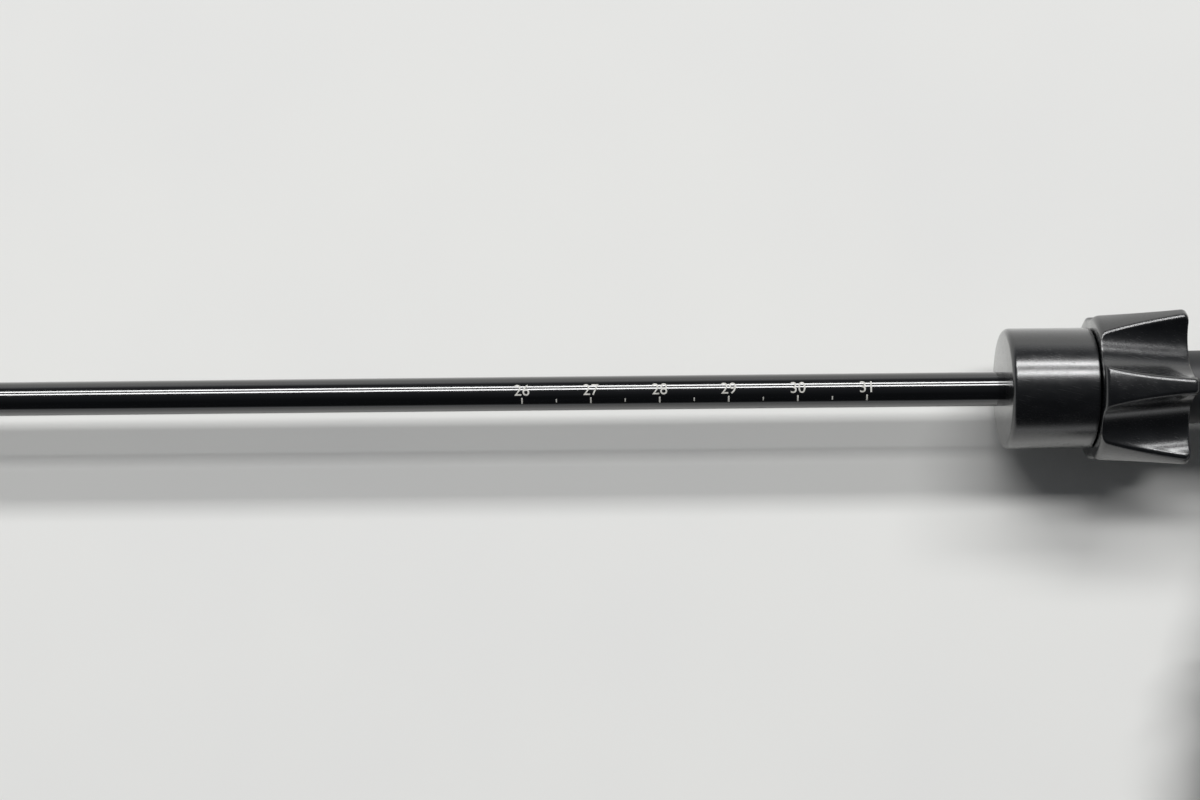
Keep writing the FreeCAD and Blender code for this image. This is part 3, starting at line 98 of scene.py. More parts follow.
# %% [markdown]
# ## What all finishes share
# Every finish here starts with the same four things: a shader, its place on the piece, a cloudy
# change of colour and gloss that handling leaves, and edges that are slightly rounded and rubbed.
# The rubbed edges come from comparing the true surface with a rounded one, so that they stay on
# the piece when the camera moves.

# %% Start a finish
def start_finish(name, **constants):
    """A new material with its shader; constants are set on the shader's own sockets."""
    material = bpy.data.materials.new(name)
    material.use_nodes = True
    tree = material.node_tree
    tree.nodes.clear()
    shader = add_node(tree, "ShaderNodeBsdfPrincipled")
    for socket, value in constants.items():
        shader.inputs[socket.replace("_", " ")].default_value = value
    add_node(tree, "ShaderNodeOutputMaterial", {"Surface": shader.outputs["BSDF"]})
    place = add_node(tree, "ShaderNodeTexCoord").outputs["Object"]
    return material, tree, shader, place


# %% Clouds, lines and hair scratches
def clouds(tree, place, size, stretch=(1, 1, 1), detail=3.0):
    """A soft pattern from 0 to 1 with spots of size millimetres, longer along an axis by stretch."""
    fitted = add_node(tree, "ShaderNodeMapping", {"Vector": place, "Scale": tuple(1 / s for s in stretch)})
    noise = add_node(tree, "ShaderNodeTexNoise", {
        "Vector": fitted.outputs["Vector"], "Scale": 1 / (size * MM), "Detail": detail, "Roughness": 0.55,
    })
    return noise.outputs["Fac"]


def spread(tree, pattern, low, high, start=0.3, end=0.7):
    """The pattern's values from start to end, spread from low to high."""
    ranged = add_node(tree, "ShaderNodeMapRange", {
        "Value": pattern, "From Min": start, "From Max": end, "To Min": low, "To Max": high,
    })
    return ranged.outputs["Result"]


def hair_scratches(tree, place, width, length, lean):
    """Short straight scratches from wiping: a pattern's peaks drawn out along X, turned by lean degrees."""
    turned = add_node(tree, "ShaderNodeMapping", {
        "Vector": place, "Rotation": (0, 0, math.radians(lean)),
    }).outputs["Vector"]
    streaks = clouds(tree, turned, width, stretch=(length / width, 1, 1), detail=1.0)
    return spread(tree, streaks, 0.0, 1.0, start=0.66, end=0.72)


# %% Rubbed edges
def rubbed_edges(tree, place, width):
    """(mask, rounded normal): the mask is 1 on edges, in broken patches, width millimetres wide."""
    rounded = add_node(tree, "ShaderNodeBevel", {"Radius": width * MM}, samples=6).outputs["Normal"]
    true = add_node(tree, "ShaderNodeNewGeometry").outputs["Normal"]
    likeness = add_node(tree, "ShaderNodeVectorMath", {0: rounded, 1: true}, operation="DOT_PRODUCT")
    edge = spread(tree, likeness.outputs["Value"], 0.0, 1.0, start=0.985, end=0.80)
    patches = spread(tree, clouds(tree, place, size=1.6), 0.15, 1.0, start=0.38, end=0.62)
    mask = add_node(tree, "ShaderNodeMath", {0: edge, 1: patches}, operation="MULTIPLY", use_clamp=True)
    return mask.outputs[0], rounded


def blend_colours(tree, factor, first, second):
    """A colour between two, each given as hex or as another node's output."""
    links = {FACTOR: factor}
    for socket, tint in ((COLOUR_A, first), (COLOUR_B, second)):
        links[socket] = colour(tint) if isinstance(tint, str) else tint
    return add_node(tree, "ShaderNodeMix", links, data_type="RGBA").outputs[MIXED]


finishes = {}
print("helpers ready")

# %% [markdown]
# ## Black plastics
# The collar and the knob are turned and milled from a dense black engineering plastic. Fresh it is
# satin, and cleaning and gloves leave cloudy brighter patches and hair scratches. The handle is
# moulded from glass-filled nylon in a spark-eroded mould, which leaves an even fine grain. The
# shaft's skin is extruded, so that it is glossy, with faint lines along it.

# %% Machined black plastic for the collar and the knob
# The lathe's real feed is about 0.08 mm, and 0.18 mm is the finest that shows.
LATHE_MARKS, MILLED_GRAIN = 0.18, 0.3


def machined_black(name, turning):
    """Satin black plastic. turning is the spacing of lathe marks in millimetres, or 0 for milled faces."""
    # The film of instrument oil is a coat of its own, which doubles the gloss of bare plastic.
    material, tree, shader, place = start_finish(name, IOR=1.6, Metallic=0.0, Coat_Weight=1.0,
                                                 Coat_Roughness=0.2, Coat_IOR=1.5)
    cloud = clouds(tree, place, size=2.2, stretch=(1.6, 1, 1), detail=5.0)
    edge, rounded = rubbed_edges(tree, place, width=0.22)
    body = blend_colours(tree, spread(tree, cloud, 0.0, 1.0), "#060709", "#0e0f11")
    tree.links.new(blend_colours(tree, edge, body, "#2c2e32"), shader.inputs["Base Color"])
    scratch = hair_scratches(tree, place, width=0.14, length=3.0, lean=14.0)
    smooth = spread(tree, clouds(tree, place, size=0.9, stretch=(2, 1, 1), detail=4.0), 0.19, 0.27)
    rough = add_node(tree, "ShaderNodeMath", {0: scratch, 1: 0.14, 2: smooth}, operation="MULTIPLY_ADD")
    tree.links.new(rough.outputs[0], shader.inputs["Roughness"])
    # Lathe marks are rings, so their pattern changes along the axis only. Milled faces have a grain.
    run = (1, 1e4, 1e4) if turning else (8, 1, 1)
    marks = clouds(tree, place, size=turning or MILLED_GRAIN, stretch=run, detail=1.0)
    bump = add_node(tree, "ShaderNodeBump", {
        "Height": marks, "Distance": 0.004 * MM, "Strength": 0.6, "Normal": rounded,
    })
    tree.links.new(bump.outputs["Normal"], shader.inputs["Normal"])
    tree.links.new(bump.outputs["Normal"], shader.inputs["Coat Normal"])
    return material


finishes["collar"] = machined_black("turned_black_plastic", LATHE_MARKS)
finishes["knob"] = machined_black("milled_black_plastic", 0)
print("machined finishes:", finishes["collar"].name, finishes["knob"].name)


# %% Extruded black insulation for the shaft
def extruded_black():
    """Glossy skin with faint lines along the shaft and slow waves in its surface."""
    material, tree, shader, place = start_finish("extruded_black_insulation", IOR=1.58, Metallic=0.0,
                                                 Coat_Weight=1.0, Coat_Roughness=0.1, Coat_IOR=1.5)
    along = clouds(tree, place, size=0.25, stretch=(60, 1, 1))
    tree.links.new(blend_colours(tree, spread(tree, along, 0.0, 1.0), "#050607", "#0b0c0e"),
                   shader.inputs["Base Color"])
    scuffs = hair_scratches(tree, place, width=0.12, length=6.0, lean=3.0)
    smooth = spread(tree, clouds(tree, place, size=1.5, stretch=(6, 1, 1), detail=4.0), 0.07, 0.14)
    rough = add_node(tree, "ShaderNodeMath", {0: scuffs, 1: 0.1, 2: smooth}, operation="MULTIPLY_ADD")
    tree.links.new(rough.outputs[0], shader.inputs["Roughness"])
    waves = clouds(tree, place, size=3.0, stretch=(4, 1, 1), detail=2.0)
    wavy = add_node(tree, "ShaderNodeBump", {"Height": waves, "Distance": 0.012 * MM, "Strength": 0.35})
    lined = add_node(tree, "ShaderNodeBump", {
        "Height": along, "Distance": 0.002 * MM, "Strength": 0.3, "Normal": wavy.outputs["Normal"],
    })
    tree.links.new(lined.outputs["Normal"], shader.inputs["Normal"])
    tree.links.new(lined.outputs["Normal"], shader.inputs["Coat Normal"])
    return material


finishes["sleeve"] = extruded_black()
print("shaft finish:", finishes["sleeve"].name)


# %% Moulded black nylon for the handle
def moulded_black(name, grain, depth, dark="#131415", light="#1e1f21"):
    """Nylon from a spark-eroded mould: an even pebble grain, matt, and shinier where hands rub it."""
    material, tree, shader, place = start_finish(name, IOR=1.53, Metallic=0.0)
    edge, rounded = rubbed_edges(tree, place, width=0.5)
    cloud = clouds(tree, place, size=14.0, detail=4.0)
    body = blend_colours(tree, spread(tree, cloud, 0.0, 1.0), dark, light)
    tree.links.new(blend_colours(tree, edge, body, "#3a3b3e"), shader.inputs["Base Color"])
    handled = spread(tree, clouds(tree, place, size=22.0), 0.36, 0.52)
    tree.links.new(handled, shader.inputs["Roughness"])
    pebbles = add_node(tree, "ShaderNodeTexVoronoi", {
        "Vector": place, "Scale": 1 / (grain * MM), "Randomness": 1.0,
    }, feature="SMOOTH_F1")
    bump = add_node(tree, "ShaderNodeBump", {
        "Height": pebbles.outputs["Distance"], "Distance": depth * MM, "Strength": 0.5, "Normal": rounded,
    })
    tree.links.new(bump.outputs["Normal"], shader.inputs["Normal"])
    return material


# The mould's real grain is about 0.15 mm, drawn at 0.4 mm so that it shows.
finishes["handle"] = moulded_black("moulded_black_nylon", grain=0.4, depth=0.03)
finishes["neck"] = moulded_black("turned_black_acetal", 0.25, 0.008, dark="#101113", light="#191a1c")
print("handle finishes:", finishes["handle"].name, finishes["neck"].name)

# %% [markdown]
# ## Metals
# The jaws, their fork, the rod, the screws and the ratchet are stainless steel. Ground and brushed
# faces show fine lines along the piece, and their gloss changes from line to line. The current post
# is brass under bright nickel, and the contact block inside is bare brass.

# %% Brushed steel, turned steel, spring steel and brass
def brushed_metal(name, pale, deep, gloss, line, stretch, rubbed):
    """Metal with lines that are line millimetres apart and run along the axis that stretch makes long."""
    material, tree, shader, place = start_finish(name, Metallic=1.0)
    lines = clouds(tree, place, line, stretch, detail=2.0)
    edge, rounded = rubbed_edges(tree, place, width=0.08)
    stained = spread(tree, clouds(tree, place, size=4.0, detail=5.0), 0.0, 0.6)
    body = blend_colours(tree, stained, pale, deep)
    tree.links.new(blend_colours(tree, edge, body, rubbed), shader.inputs["Base Color"])
    tree.links.new(spread(tree, lines, gloss - 0.07, gloss + 0.09), shader.inputs["Roughness"])
    scratch = hair_scratches(tree, place, width=0.09, length=2.5, lean=24.0)
    height = add_node(tree, "ShaderNodeMath", {0: scratch, 1: -0.4, 2: lines}, operation="MULTIPLY_ADD")
    bump = add_node(tree, "ShaderNodeBump", {
        "Height": height.outputs[0], "Distance": 0.002 * MM, "Strength": 0.5, "Normal": rounded,
    })
    tree.links.new(bump.outputs["Normal"], shader.inputs["Normal"])
    return material


# Real brushing lines are about 0.02 mm apart, and 0.1 mm is the finest that shows.
finishes["steel"] = brushed_metal("brushed_stainless_steel", "#c9cacb", "#aeb0b2", 0.27, 0.1, (25, 1, 1),
                                  "#e2e3e4")
finishes["turned_steel"] = brushed_metal("turned_stainless_steel", "#cdcecf", "#b6b8ba", 0.2, 0.12,
                                         (25, 25, 1), "#e6e7e8")
finishes["spring"] = brushed_metal("rolled_spring_steel", "#a8abb0", "#85888e", 0.33, 0.15, (1, 20, 1),
                                   "#cdd0d4")
finishes["brass"] = brushed_metal("turned_brass", "#d9bd78", "#b8974f", 0.3, 0.15, (1, 25, 25), "#ecd9a0")
finishes["nickel"] = brushed_metal("nickel_plated_brass", "#d3cdbd", "#bdb49c", 0.14, 0.12, (25, 1, 25),
                                   "#dcc692")
print("metal finishes:", [finishes[k].name for k in ("steel", "turned_steel", "spring", "brass", "nickel")])

# %% [markdown]
# ## Seals, bushes and print
# Soft and low-friction pieces sit inside the knob and handle: a black rubber ring, a grey silicone
# seal and white bushes. They are matt and slightly cloudy. The scale on the shaft is printed with a
# pale grey ink, which cleaning wears away in spots.

# %% Rubber, silicone, white plastic and ink
def soft_matt(name, first, second, rough, grain, index):
    """A matt moulded or printed surface whose colour changes slightly from spot to spot."""
    material, tree, shader, place = start_finish(name, IOR=index, Metallic=0.0)
    spots = clouds(tree, place, grain, detail=4.0)
    spotted = blend_colours(tree, spread(tree, spots, 0.0, 1.0), first, second)
    tree.links.new(spotted, shader.inputs["Base Color"])
    tree.links.new(spread(tree, spots, rough - 0.06, rough + 0.06), shader.inputs["Roughness"])
    bump = add_node(tree, "ShaderNodeBump", {"Height": spots, "Distance": 0.01 * MM, "Strength": 0.4})
    tree.links.new(bump.outputs["Normal"], shader.inputs["Normal"])
    return material


finishes["rubber"] = soft_matt("black_nitrile_rubber", "#151515", "#222222", 0.6, 0.5, 1.52)
finishes["silicone"] = soft_matt("grey_silicone_rubber", "#7d8082", "#8e9193", 0.5, 0.6, 1.41)
finishes["white"] = soft_matt("turned_white_plastic", "#e3e1da", "#d6d3ca", 0.42, 0.8, 1.38)
finishes["ink"] = soft_matt("pale_grey_marking_ink", "#d4d3cd", "#a9a8a2", 0.5, 0.35, 1.5)
print("soft finishes ready, in all", len(finishes))

# %% [markdown]
# ## Turned pieces
# The sleeve and the collar are spun shapes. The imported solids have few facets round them, which a
# glossy black surface shows at once. So both are spun again here with many more steps, from the
# same sizes, and their corners are rounded by arcs.

# %% Round a profile's corners and spin it
def rounded_profile(corners, steps=6):
    """The points of a closed outline of (along, radius, rounding), with an arc at each rounded corner."""
    points = []
    count = len(corners)
    for i, corner in enumerate(corners):
        here = Vector(corner[:2])
        rounding = corner[2] if len(corner) > 2 else 0
        if not rounding:
            points.append(here)
            continue
        back = (Vector(corners[i - 1][:2]) - here).normalized()
        ahead = (Vector(corners[(i + 1) % count][:2]) - here).normalized()
        half = back.angle(ahead) / 2
        centre = here + (back + ahead).normalized() * (rounding / math.sin(half))
        first = here + back * (rounding / math.tan(half)) - centre
        last = here + ahead * (rounding / math.tan(half)) - centre
        turn = first.angle_signed(last)
        for step in range(steps + 1):
            arm = first.copy()
            arm.rotate(Matrix.Rotation(-turn * step / steps, 2))
            points.append(centre + arm)
    return points


def smooth_faces(mesh, angle=32):
    """Smooth shading, with edges sharper than the angle kept crisp."""
    mesh.shade_smooth()
    mesh.set_sharp_from_angle(angle=math.radians(angle))


def finished_piece(name, mesh, body, finish, slot, *nodes):
    """A mesh in metres as a piece that rides on a body and stands for CAD nodes."""
    piece = bpy.data.objects.new(name, mesh)
    bpy.context.scene.collection.objects.link(piece)
    mesh.materials.clear()
    mesh.materials.append(finishes[finish])
    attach(piece, body)
    if nodes:
        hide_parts(*nodes)
    return piece


def spun_mesh(name, corners, sides):
    """A closed outline, in millimetres, spun round the shaft's axis."""
    profile = rounded_profile(corners)
    build = bmesh.new()
    rings = []
    for k in range(sides):
        turn = 2 * math.pi * k / sides
        rings.append([build.verts.new((p.x * MM, p.y * math.cos(turn) * MM, p.y * math.sin(turn) * MM))
                      for p in profile])
    for k in range(sides):
        here, there = rings[k], rings[(k + 1) % sides]
        for i in range(len(profile)):
            j = (i + 1) % len(profile)
            build.faces.new((here[i], here[j], there[j], there[i]))
    bmesh.ops.recalc_face_normals(build, faces=build.faces)
    mesh = bpy.data.meshes.new(name)
    build.to_mesh(mesh)
    build.free()
    smooth_faces(mesh)
    return mesh


print("profile test:", len(rounded_profile([(0, 1), (0, 2, 0.5), (3, 2), (3, 1)])), "points")

# %% Spin the sleeve
SHAFT_RADIUS, SEAT_RADIUS, SLEEVE_WALL, SLEEVE_ROUNDING, SLEEVE_SIDES = 2.5, 2.3, 0.35, 0.12, 128
sleeve_low, sleeve_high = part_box("insulation_sleeve")
sleeve_front, sleeve_back = sleeve_low.x / MM, sleeve_high.x / MM
finished_piece("shaft_sleeve", spun_mesh("shaft_sleeve", [
    (sleeve_front, SHAFT_RADIUS - SLEEVE_WALL),
    (sleeve_front, SHAFT_RADIUS, SLEEVE_ROUNDING),
    (0, SHAFT_RADIUS),
    (0, SEAT_RADIUS),
    (sleeve_back, SEAT_RADIUS),
    (sleeve_back, SHAFT_RADIUS - SLEEVE_WALL),
], SLEEVE_SIDES), "insert", "sleeve", "sleeve_black", "insulation_sleeve")
print("sleeve from", round(sleeve_front, 1), "to", round(sleeve_back, 1), "mm")

# %% Spin the collar
collar_low, collar_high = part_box("collar")
COLLAR_RADIUS, COLLAR_LENGTH = collar_high.y / MM, (collar_high.x - collar_low.x) / MM
COLLAR_BORE, HUB_ROOM, COLLAR_WALL = SEAT_RADIUS + 0.02, 5.47, 2.0
FRONT_ROUNDING, BACK_ROUNDING, COLLAR_SIDES = 0.85, 0.21, 160
finished_piece("collar_ring", spun_mesh("collar_ring", [
    (0, COLLAR_BORE),
    (0, COLLAR_RADIUS, FRONT_ROUNDING),
    (COLLAR_LENGTH, COLLAR_RADIUS, BACK_ROUNDING),
    (COLLAR_LENGTH, HUB_ROOM),
    (COLLAR_WALL, HUB_ROOM),
    (COLLAR_WALL, COLLAR_BORE),
], COLLAR_SIDES), "insert", "collar", "collar_black", "collar")
print("collar", round(COLLAR_LENGTH, 2), "mm long,", round(2 * COLLAR_RADIUS, 2), "mm across")

# %% [markdown]
# ## The fluted knob
# The knob is a short cone that widens towards the handle. Six flutes are milled along it by a round
# cutter that dives towards the handle, so that they get deeper and wider there, and the long edges
# of the ribs are rounded. Its six sectors are alike. So one sector is worked out as a row of cross
# sections, each made of true arcs: flute, rounded edge and rib. Geometry Nodes turn it round the
# axis six times.

# %% The knob's sizes
knob_low, knob_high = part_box("rotation_knob")
KNOB_FRONT, KNOB_BACK = knob_low.x / MM, knob_high.x / MM
RIB_FRONT, RIB_BACK, RIM_ROUNDING, RIB_ROUNDING = 10.8, 12.5, 0.9, 0.75
FLUTE_COUNT, CUTTER_RADIUS, FLUTE_FLOOR, FLUTE_DIVE = 6, 5.4, 9.7, 2.0
KEY_RADIUS, NECK_ROOM, WEB_END = 4.7, 5.35, KNOB_FRONT + 6.0
FLUTE_EDGE, BORE_EDGE = 0.16, 0.2


def rib_radius(x):
    """The cone's radius, with its two rims rounded."""
    cone = RIB_FRONT + (RIB_BACK - RIB_FRONT) * (x - KNOB_FRONT) / (KNOB_BACK - KNOB_FRONT)
    to_end = min(x - KNOB_FRONT, KNOB_BACK - x)
    if to_end >= RIM_ROUNDING:
        return cone
    return cone - RIM_ROUNDING + math.sqrt(max(0, RIM_ROUNDING ** 2 - (RIM_ROUNDING - to_end) ** 2))


def cutter_radius(x):
    """The cutter's radius, a little wider at both ends so that the flute's own rims are broken."""
    drop = max(0.0, FLUTE_EDGE - min(x - KNOB_FRONT, KNOB_BACK - x))
    return CUTTER_RADIUS + FLUTE_EDGE - math.sqrt(max(0, FLUTE_EDGE ** 2 - drop ** 2))


print("knob", round(KNOB_BACK - KNOB_FRONT, 2), "mm long, back radius", RIB_BACK)


# %% One cross section of a sector
FLUTE_STEPS, EDGE_STEPS, RIB_STEPS = 14, 9, 4


def arc(centre, radius, first, last, count):
    """Points on an arc round a centre, from one angle towards another, without the last."""
    turns = [first + (last - first) * k / count for k in range(count)]
    return [centre + radius * Vector((math.cos(a), math.sin(a))) for a in turns]


def section(x):
    """Points from one rib's middle to the next across a flute; the flute's middle lies on the first axis."""
    rib, cutter = rib_radius(x), cutter_radius(x)
    floor = FLUTE_FLOOR - FLUTE_DIVE * (x - KNOB_FRONT) / (KNOB_BACK - KNOB_FRONT)
    flute = Vector((floor + CUTTER_RADIUS, 0))
    # The rounded edge's centre lies inside the rib and at a fixed distance from the cutter's.
    arm, reach = rib - RIB_ROUNDING, cutter + RIB_ROUNDING
    lean = math.acos(min(1, (arm ** 2 + flute.x ** 2 - reach ** 2) / (2 * arm * flute.x)))
    edge = arm * Vector((math.cos(lean), math.sin(lean)))
    toward = math.atan2(edge.y, edge.x - flute.x)
    half = math.pi / FLUTE_COUNT
    side = arc(flute, cutter, math.pi, toward, FLUTE_STEPS)
    side += arc(edge, RIB_ROUNDING, toward - math.pi, lean, EDGE_STEPS)
    side += arc(Vector((0, 0)), rib, lean, half, RIB_STEPS)
    side.append(rib * Vector((math.cos(half), math.sin(half))))
    return [Vector((p.x, -p.y)) for p in reversed(side[1:])] + side


print("points in a section:", len(section(KNOB_FRONT + 5)))


# %% One sector of the knob
RIM_STEPS, BODY_STEPS = 9, 16


def knob_stations():
    """Places along the knob, close together at its rims."""
    sweep = [1 - math.cos(math.pi / 2 * k / RIM_STEPS) for k in range(RIM_STEPS + 1)]
    front = [KNOB_FRONT + RIM_ROUNDING * a for a in sweep]
    back = [KNOB_BACK - RIM_ROUNDING * a for a in reversed(sweep)]
    middle = [front[-1] + (back[0] - front[-1]) * k / BODY_STEPS for k in range(1, BODY_STEPS)]
    return front + middle + back


def sector_mesh():
    """A sixth of the knob, closed all round but for its two cut sides."""
    build = bmesh.new()
    rows = [[(x, *point) for point in section(x)] for x in knob_stations()]
    inner = [(KNOB_BACK, NECK_ROOM + BORE_EDGE), (KNOB_BACK - BORE_EDGE, NECK_ROOM),
             (WEB_END, NECK_ROOM), (WEB_END, KEY_RADIUS), (KNOB_FRONT, KEY_RADIUS)]
    half = math.pi / FLUTE_COUNT
    even = [-half + 2 * half * k / (len(rows[0]) - 1) for k in range(len(rows[0]))]
    rows += [[(x, radius * math.cos(a), radius * math.sin(a)) for a in even] for x, radius in inner]
    grid = [[build.verts.new([c * MM for c in point]) for point in row] for row in rows]
    for i in range(len(grid)):
        here, there = grid[i], grid[(i + 1) % len(grid)]
        for k in range(len(here) - 1):
            build.faces.new((here[k], here[k + 1], there[k + 1], there[k]))
    mesh = bpy.data.meshes.new("knob_sector")
    build.to_mesh(mesh)
    build.free()
    return mesh


knob_sector = sector_mesh()
print("knob sector:", len(knob_sector.polygons), "faces")

# %% [markdown]
# ### Turning the sector round the axis
# Geometry Nodes place copies on points that all lie at the origin, and turn each by its number. The
# copies become real geometry and are joined where they touch, so that the knob is one closed mesh.


# %% A node tree that repeats a shape round the shaft's axis
def new_tree(name, inputs):
    """A Geometry Nodes tree with a geometry input and output, and named inputs of (name, kind, value)."""
    tree = bpy.data.node_groups.new(name, "GeometryNodeTree")
    tree.interface.new_socket("Geometry", in_out="INPUT", socket_type="NodeSocketGeometry")
    for label, kind, value in inputs:
        tree.interface.new_socket(label, in_out="INPUT", socket_type=kind).default_value = value
    tree.interface.new_socket("Geometry", in_out="OUTPUT", socket_type="NodeSocketGeometry")
    return tree, add_node(tree, "NodeGroupInput").outputs


def evaluated_mesh(name, mesh, tree, values):
    """The plain mesh that a tree makes of a mesh; values are for the tree's named inputs."""
    carrier = bpy.data.objects.new(name, mesh)
    bpy.context.scene.collection.objects.link(carrier)
    modifier = carrier.modifiers.new("repeat", "NODES")
    modifier.node_group = tree
    for item in tree.interface.items_tree:
        if item.in_out == "INPUT" and item.name in values:
            modifier[item.identifier] = values[item.name]
    graph = bpy.context.evaluated_depsgraph_get()
    made = bpy.data.meshes.new_from_object(carrier.evaluated_get(graph))
    carrier.modifiers.remove(modifier)
    bpy.data.objects.remove(carrier)
    made.name = name
    return made


round_tree, given = new_tree("repeat_round_the_axis", [
    ("Count", "NodeSocketInt", FLUTE_COUNT), ("Finish", "NodeSocketMaterial", None),
    ("Join distance", "NodeSocketFloat", 0.001 * MM),
])
step = add_node(round_tree, "ShaderNodeMath", {0: 2 * math.pi, 1: given["Count"]}, operation="DIVIDE")
number = add_node(round_tree, "GeometryNodeInputIndex")
turn = add_node(round_tree, "ShaderNodeMath", {
    0: number.outputs[0], 1: step.outputs[0],
}, operation="MULTIPLY")
about_x = add_node(round_tree, "ShaderNodeCombineXYZ", {"X": turn.outputs[0]})
points = add_node(round_tree, "GeometryNodeMeshLine", {"Count": given["Count"], "Offset": (0, 0, 0)})
copies = add_node(round_tree, "GeometryNodeInstanceOnPoints", {
    "Points": points.outputs[0], "Instance": given["Geometry"],
    "Rotation": add_node(round_tree, "FunctionNodeEulerToRotation", {"Euler": about_x.outputs[0]}).outputs[0],
})
real = add_node(round_tree, "GeometryNodeRealizeInstances", {"Geometry": copies.outputs[0]})
joined = add_node(round_tree, "GeometryNodeMergeByDistance", {
    "Geometry": real.outputs[0], "Distance": given["Join distance"],
})
coated = add_node(round_tree, "GeometryNodeSetMaterial", {
    "Geometry": joined.outputs[0], "Material": given["Finish"],
})
add_node(round_tree, "NodeGroupOutput", {"Geometry": coated.outputs[0]})
print("tree with inputs:", [i.name for i in round_tree.interface.items_tree if i.in_out == "INPUT"])

# %% Make the knob
knob_mesh = evaluated_mesh("fluted_knob", knob_sector, round_tree, {
    "Count": FLUTE_COUNT, "Finish": finishes["knob"], "Join distance": 0.001 * MM,
})
shell = bmesh.new()
shell.from_mesh(knob_mesh)
bmesh.ops.recalc_face_normals(shell, faces=shell.faces)
open_edges = [e for e in shell.edges if len(e.link_faces) != 2]
shell.to_mesh(knob_mesh)
shell.free()
smooth_faces(knob_mesh, angle=40)
finished_piece("fluted_knob", knob_mesh, "insert", "knob", "knob_black", "rotation_knob")
print("knob:", len(knob_mesh.polygons), "faces, open edges:", len(open_edges))

# %% [markdown]
# ## The scale on the shaft
# The shaft carries a small printed scale near the collar: plain numbers that give the distance to
# the jaw tips in centimetres, with a tick for each half centimetre. The ink is a film about a
# hundredth of a millimetre thick. Ticks repeat along the shaft, so Geometry Nodes make them, bent
# to the shaft's radius. The digits are text, cut into narrow strips so that they bend as well.

# %% A node tree for ticks along the shaft
INK_RADIUS, INK_FILM = SHAFT_RADIUS + 0.004, 0.014
scale_tree, given = new_tree("ticks_along_the_shaft", [
    ("Count", "NodeSocketInt", 6), ("Spacing", "NodeSocketFloat", 10 * MM),
    ("First place", "NodeSocketFloat", -70 * MM), ("Width", "NodeSocketFloat", 0.2 * MM),
    ("Arc length", "NodeSocketFloat", MM), ("Turn", "NodeSocketFloat", 0.0),
    ("Radius", "NodeSocketFloat", INK_RADIUS * MM), ("Film", "NodeSocketFloat", INK_FILM * MM),
    ("Finish", "NodeSocketMaterial", None),
])
strip = add_node(scale_tree, "GeometryNodeMeshGrid", {
    "Size X": given["Width"], "Size Y": given["Arc length"], "Vertices X": 2, "Vertices Y": 12,
})
flat = add_node(scale_tree, "ShaderNodeSeparateXYZ", {
    "Vector": add_node(scale_tree, "GeometryNodeInputPosition").outputs[0],
})
bend = add_node(scale_tree, "ShaderNodeMath", {0: flat.outputs["Y"], 1: given["Radius"]}, operation="DIVIDE")
angle = add_node(scale_tree, "ShaderNodeMath", {0: bend.outputs[0], 1: given["Turn"]}, operation="ADD")
sine = add_node(scale_tree, "ShaderNodeMath", {0: angle.outputs[0]}, operation="SINE")
cosine = add_node(scale_tree, "ShaderNodeMath", {0: angle.outputs[0]}, operation="COSINE")
up = add_node(scale_tree, "ShaderNodeMath", {0: sine.outputs[0], 1: given["Radius"]}, operation="MULTIPLY")
out = add_node(scale_tree, "ShaderNodeMath", {0: cosine.outputs[0], 1: given["Radius"]}, operation="MULTIPLY")
bent = add_node(scale_tree, "GeometryNodeSetPosition", {
    "Geometry": strip.outputs["Mesh"],
    "Position": add_node(scale_tree, "ShaderNodeCombineXYZ", {
        "X": flat.outputs["X"], "Y": up.outputs[0], "Z": out.outputs[0],
    }).outputs[0],
})
film = add_node(scale_tree, "GeometryNodeExtrudeMesh", {
    "Mesh": bent.outputs[0], "Offset Scale": given["Film"], "Individual": False,
})
row = add_node(scale_tree, "GeometryNodeMeshLine", {
    "Count": given["Count"],
    "Start Location": add_node(scale_tree, "ShaderNodeCombineXYZ", {"X": given["First place"]}).outputs[0],
    "Offset": add_node(scale_tree, "ShaderNodeCombineXYZ", {"X": given["Spacing"]}).outputs[0],
})
ticks = add_node(scale_tree, "GeometryNodeInstanceOnPoints", {
    "Points": row.outputs[0], "Instance": film.outputs["Mesh"],
})
solid = add_node(scale_tree, "GeometryNodeRealizeInstances", {"Geometry": ticks.outputs[0]})
printed = add_node(scale_tree, "GeometryNodeSetMaterial", {
    "Geometry": solid.outputs[0], "Material": given["Finish"],
})
add_node(scale_tree, "NodeGroupOutput", {"Geometry": printed.outputs[0]})
print("ticks tree nodes:", len(scale_tree.nodes))

# %% Print the ticks
SCALE_START, SCALE_STEP, SCALE_MARKS = -70.0, 10.0, 6
TICK_TURN = -0.44       # radians below the line that faces the camera


def tick_row(name, count, first, spacing, arc, width):
    return evaluated_mesh(name, bpy.data.meshes.new("empty"), scale_tree, {
        "Count": count, "Spacing": spacing * MM, "First place": first * MM, "Width": width * MM,
        "Arc length": arc * MM, "Turn": TICK_TURN, "Radius": INK_RADIUS * MM, "Film": INK_FILM * MM,
        "Finish": finishes["ink"],
    })


long_ticks = tick_row("scale_long_ticks", SCALE_MARKS, SCALE_START, SCALE_STEP, arc=0.95, width=0.22)
short_ticks = tick_row("scale_short_ticks", SCALE_MARKS - 1, SCALE_START + SCALE_STEP / 2, SCALE_STEP,
                       arc=0.55, width=0.16)
for mesh in (long_ticks, short_ticks):
    finished_piece(mesh.name, mesh, "insert", "ink", "sleeve_black")
print("tick faces:", len(long_ticks.polygons), len(short_ticks.polygons))

# %% Print the numbers
TIP_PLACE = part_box("upper_jaw")[0].x / MM
DIGIT_SIZE, DIGIT_LIFT, STRIP = 2.35, 0.42, 0.12
WELD = 0.01 * MM


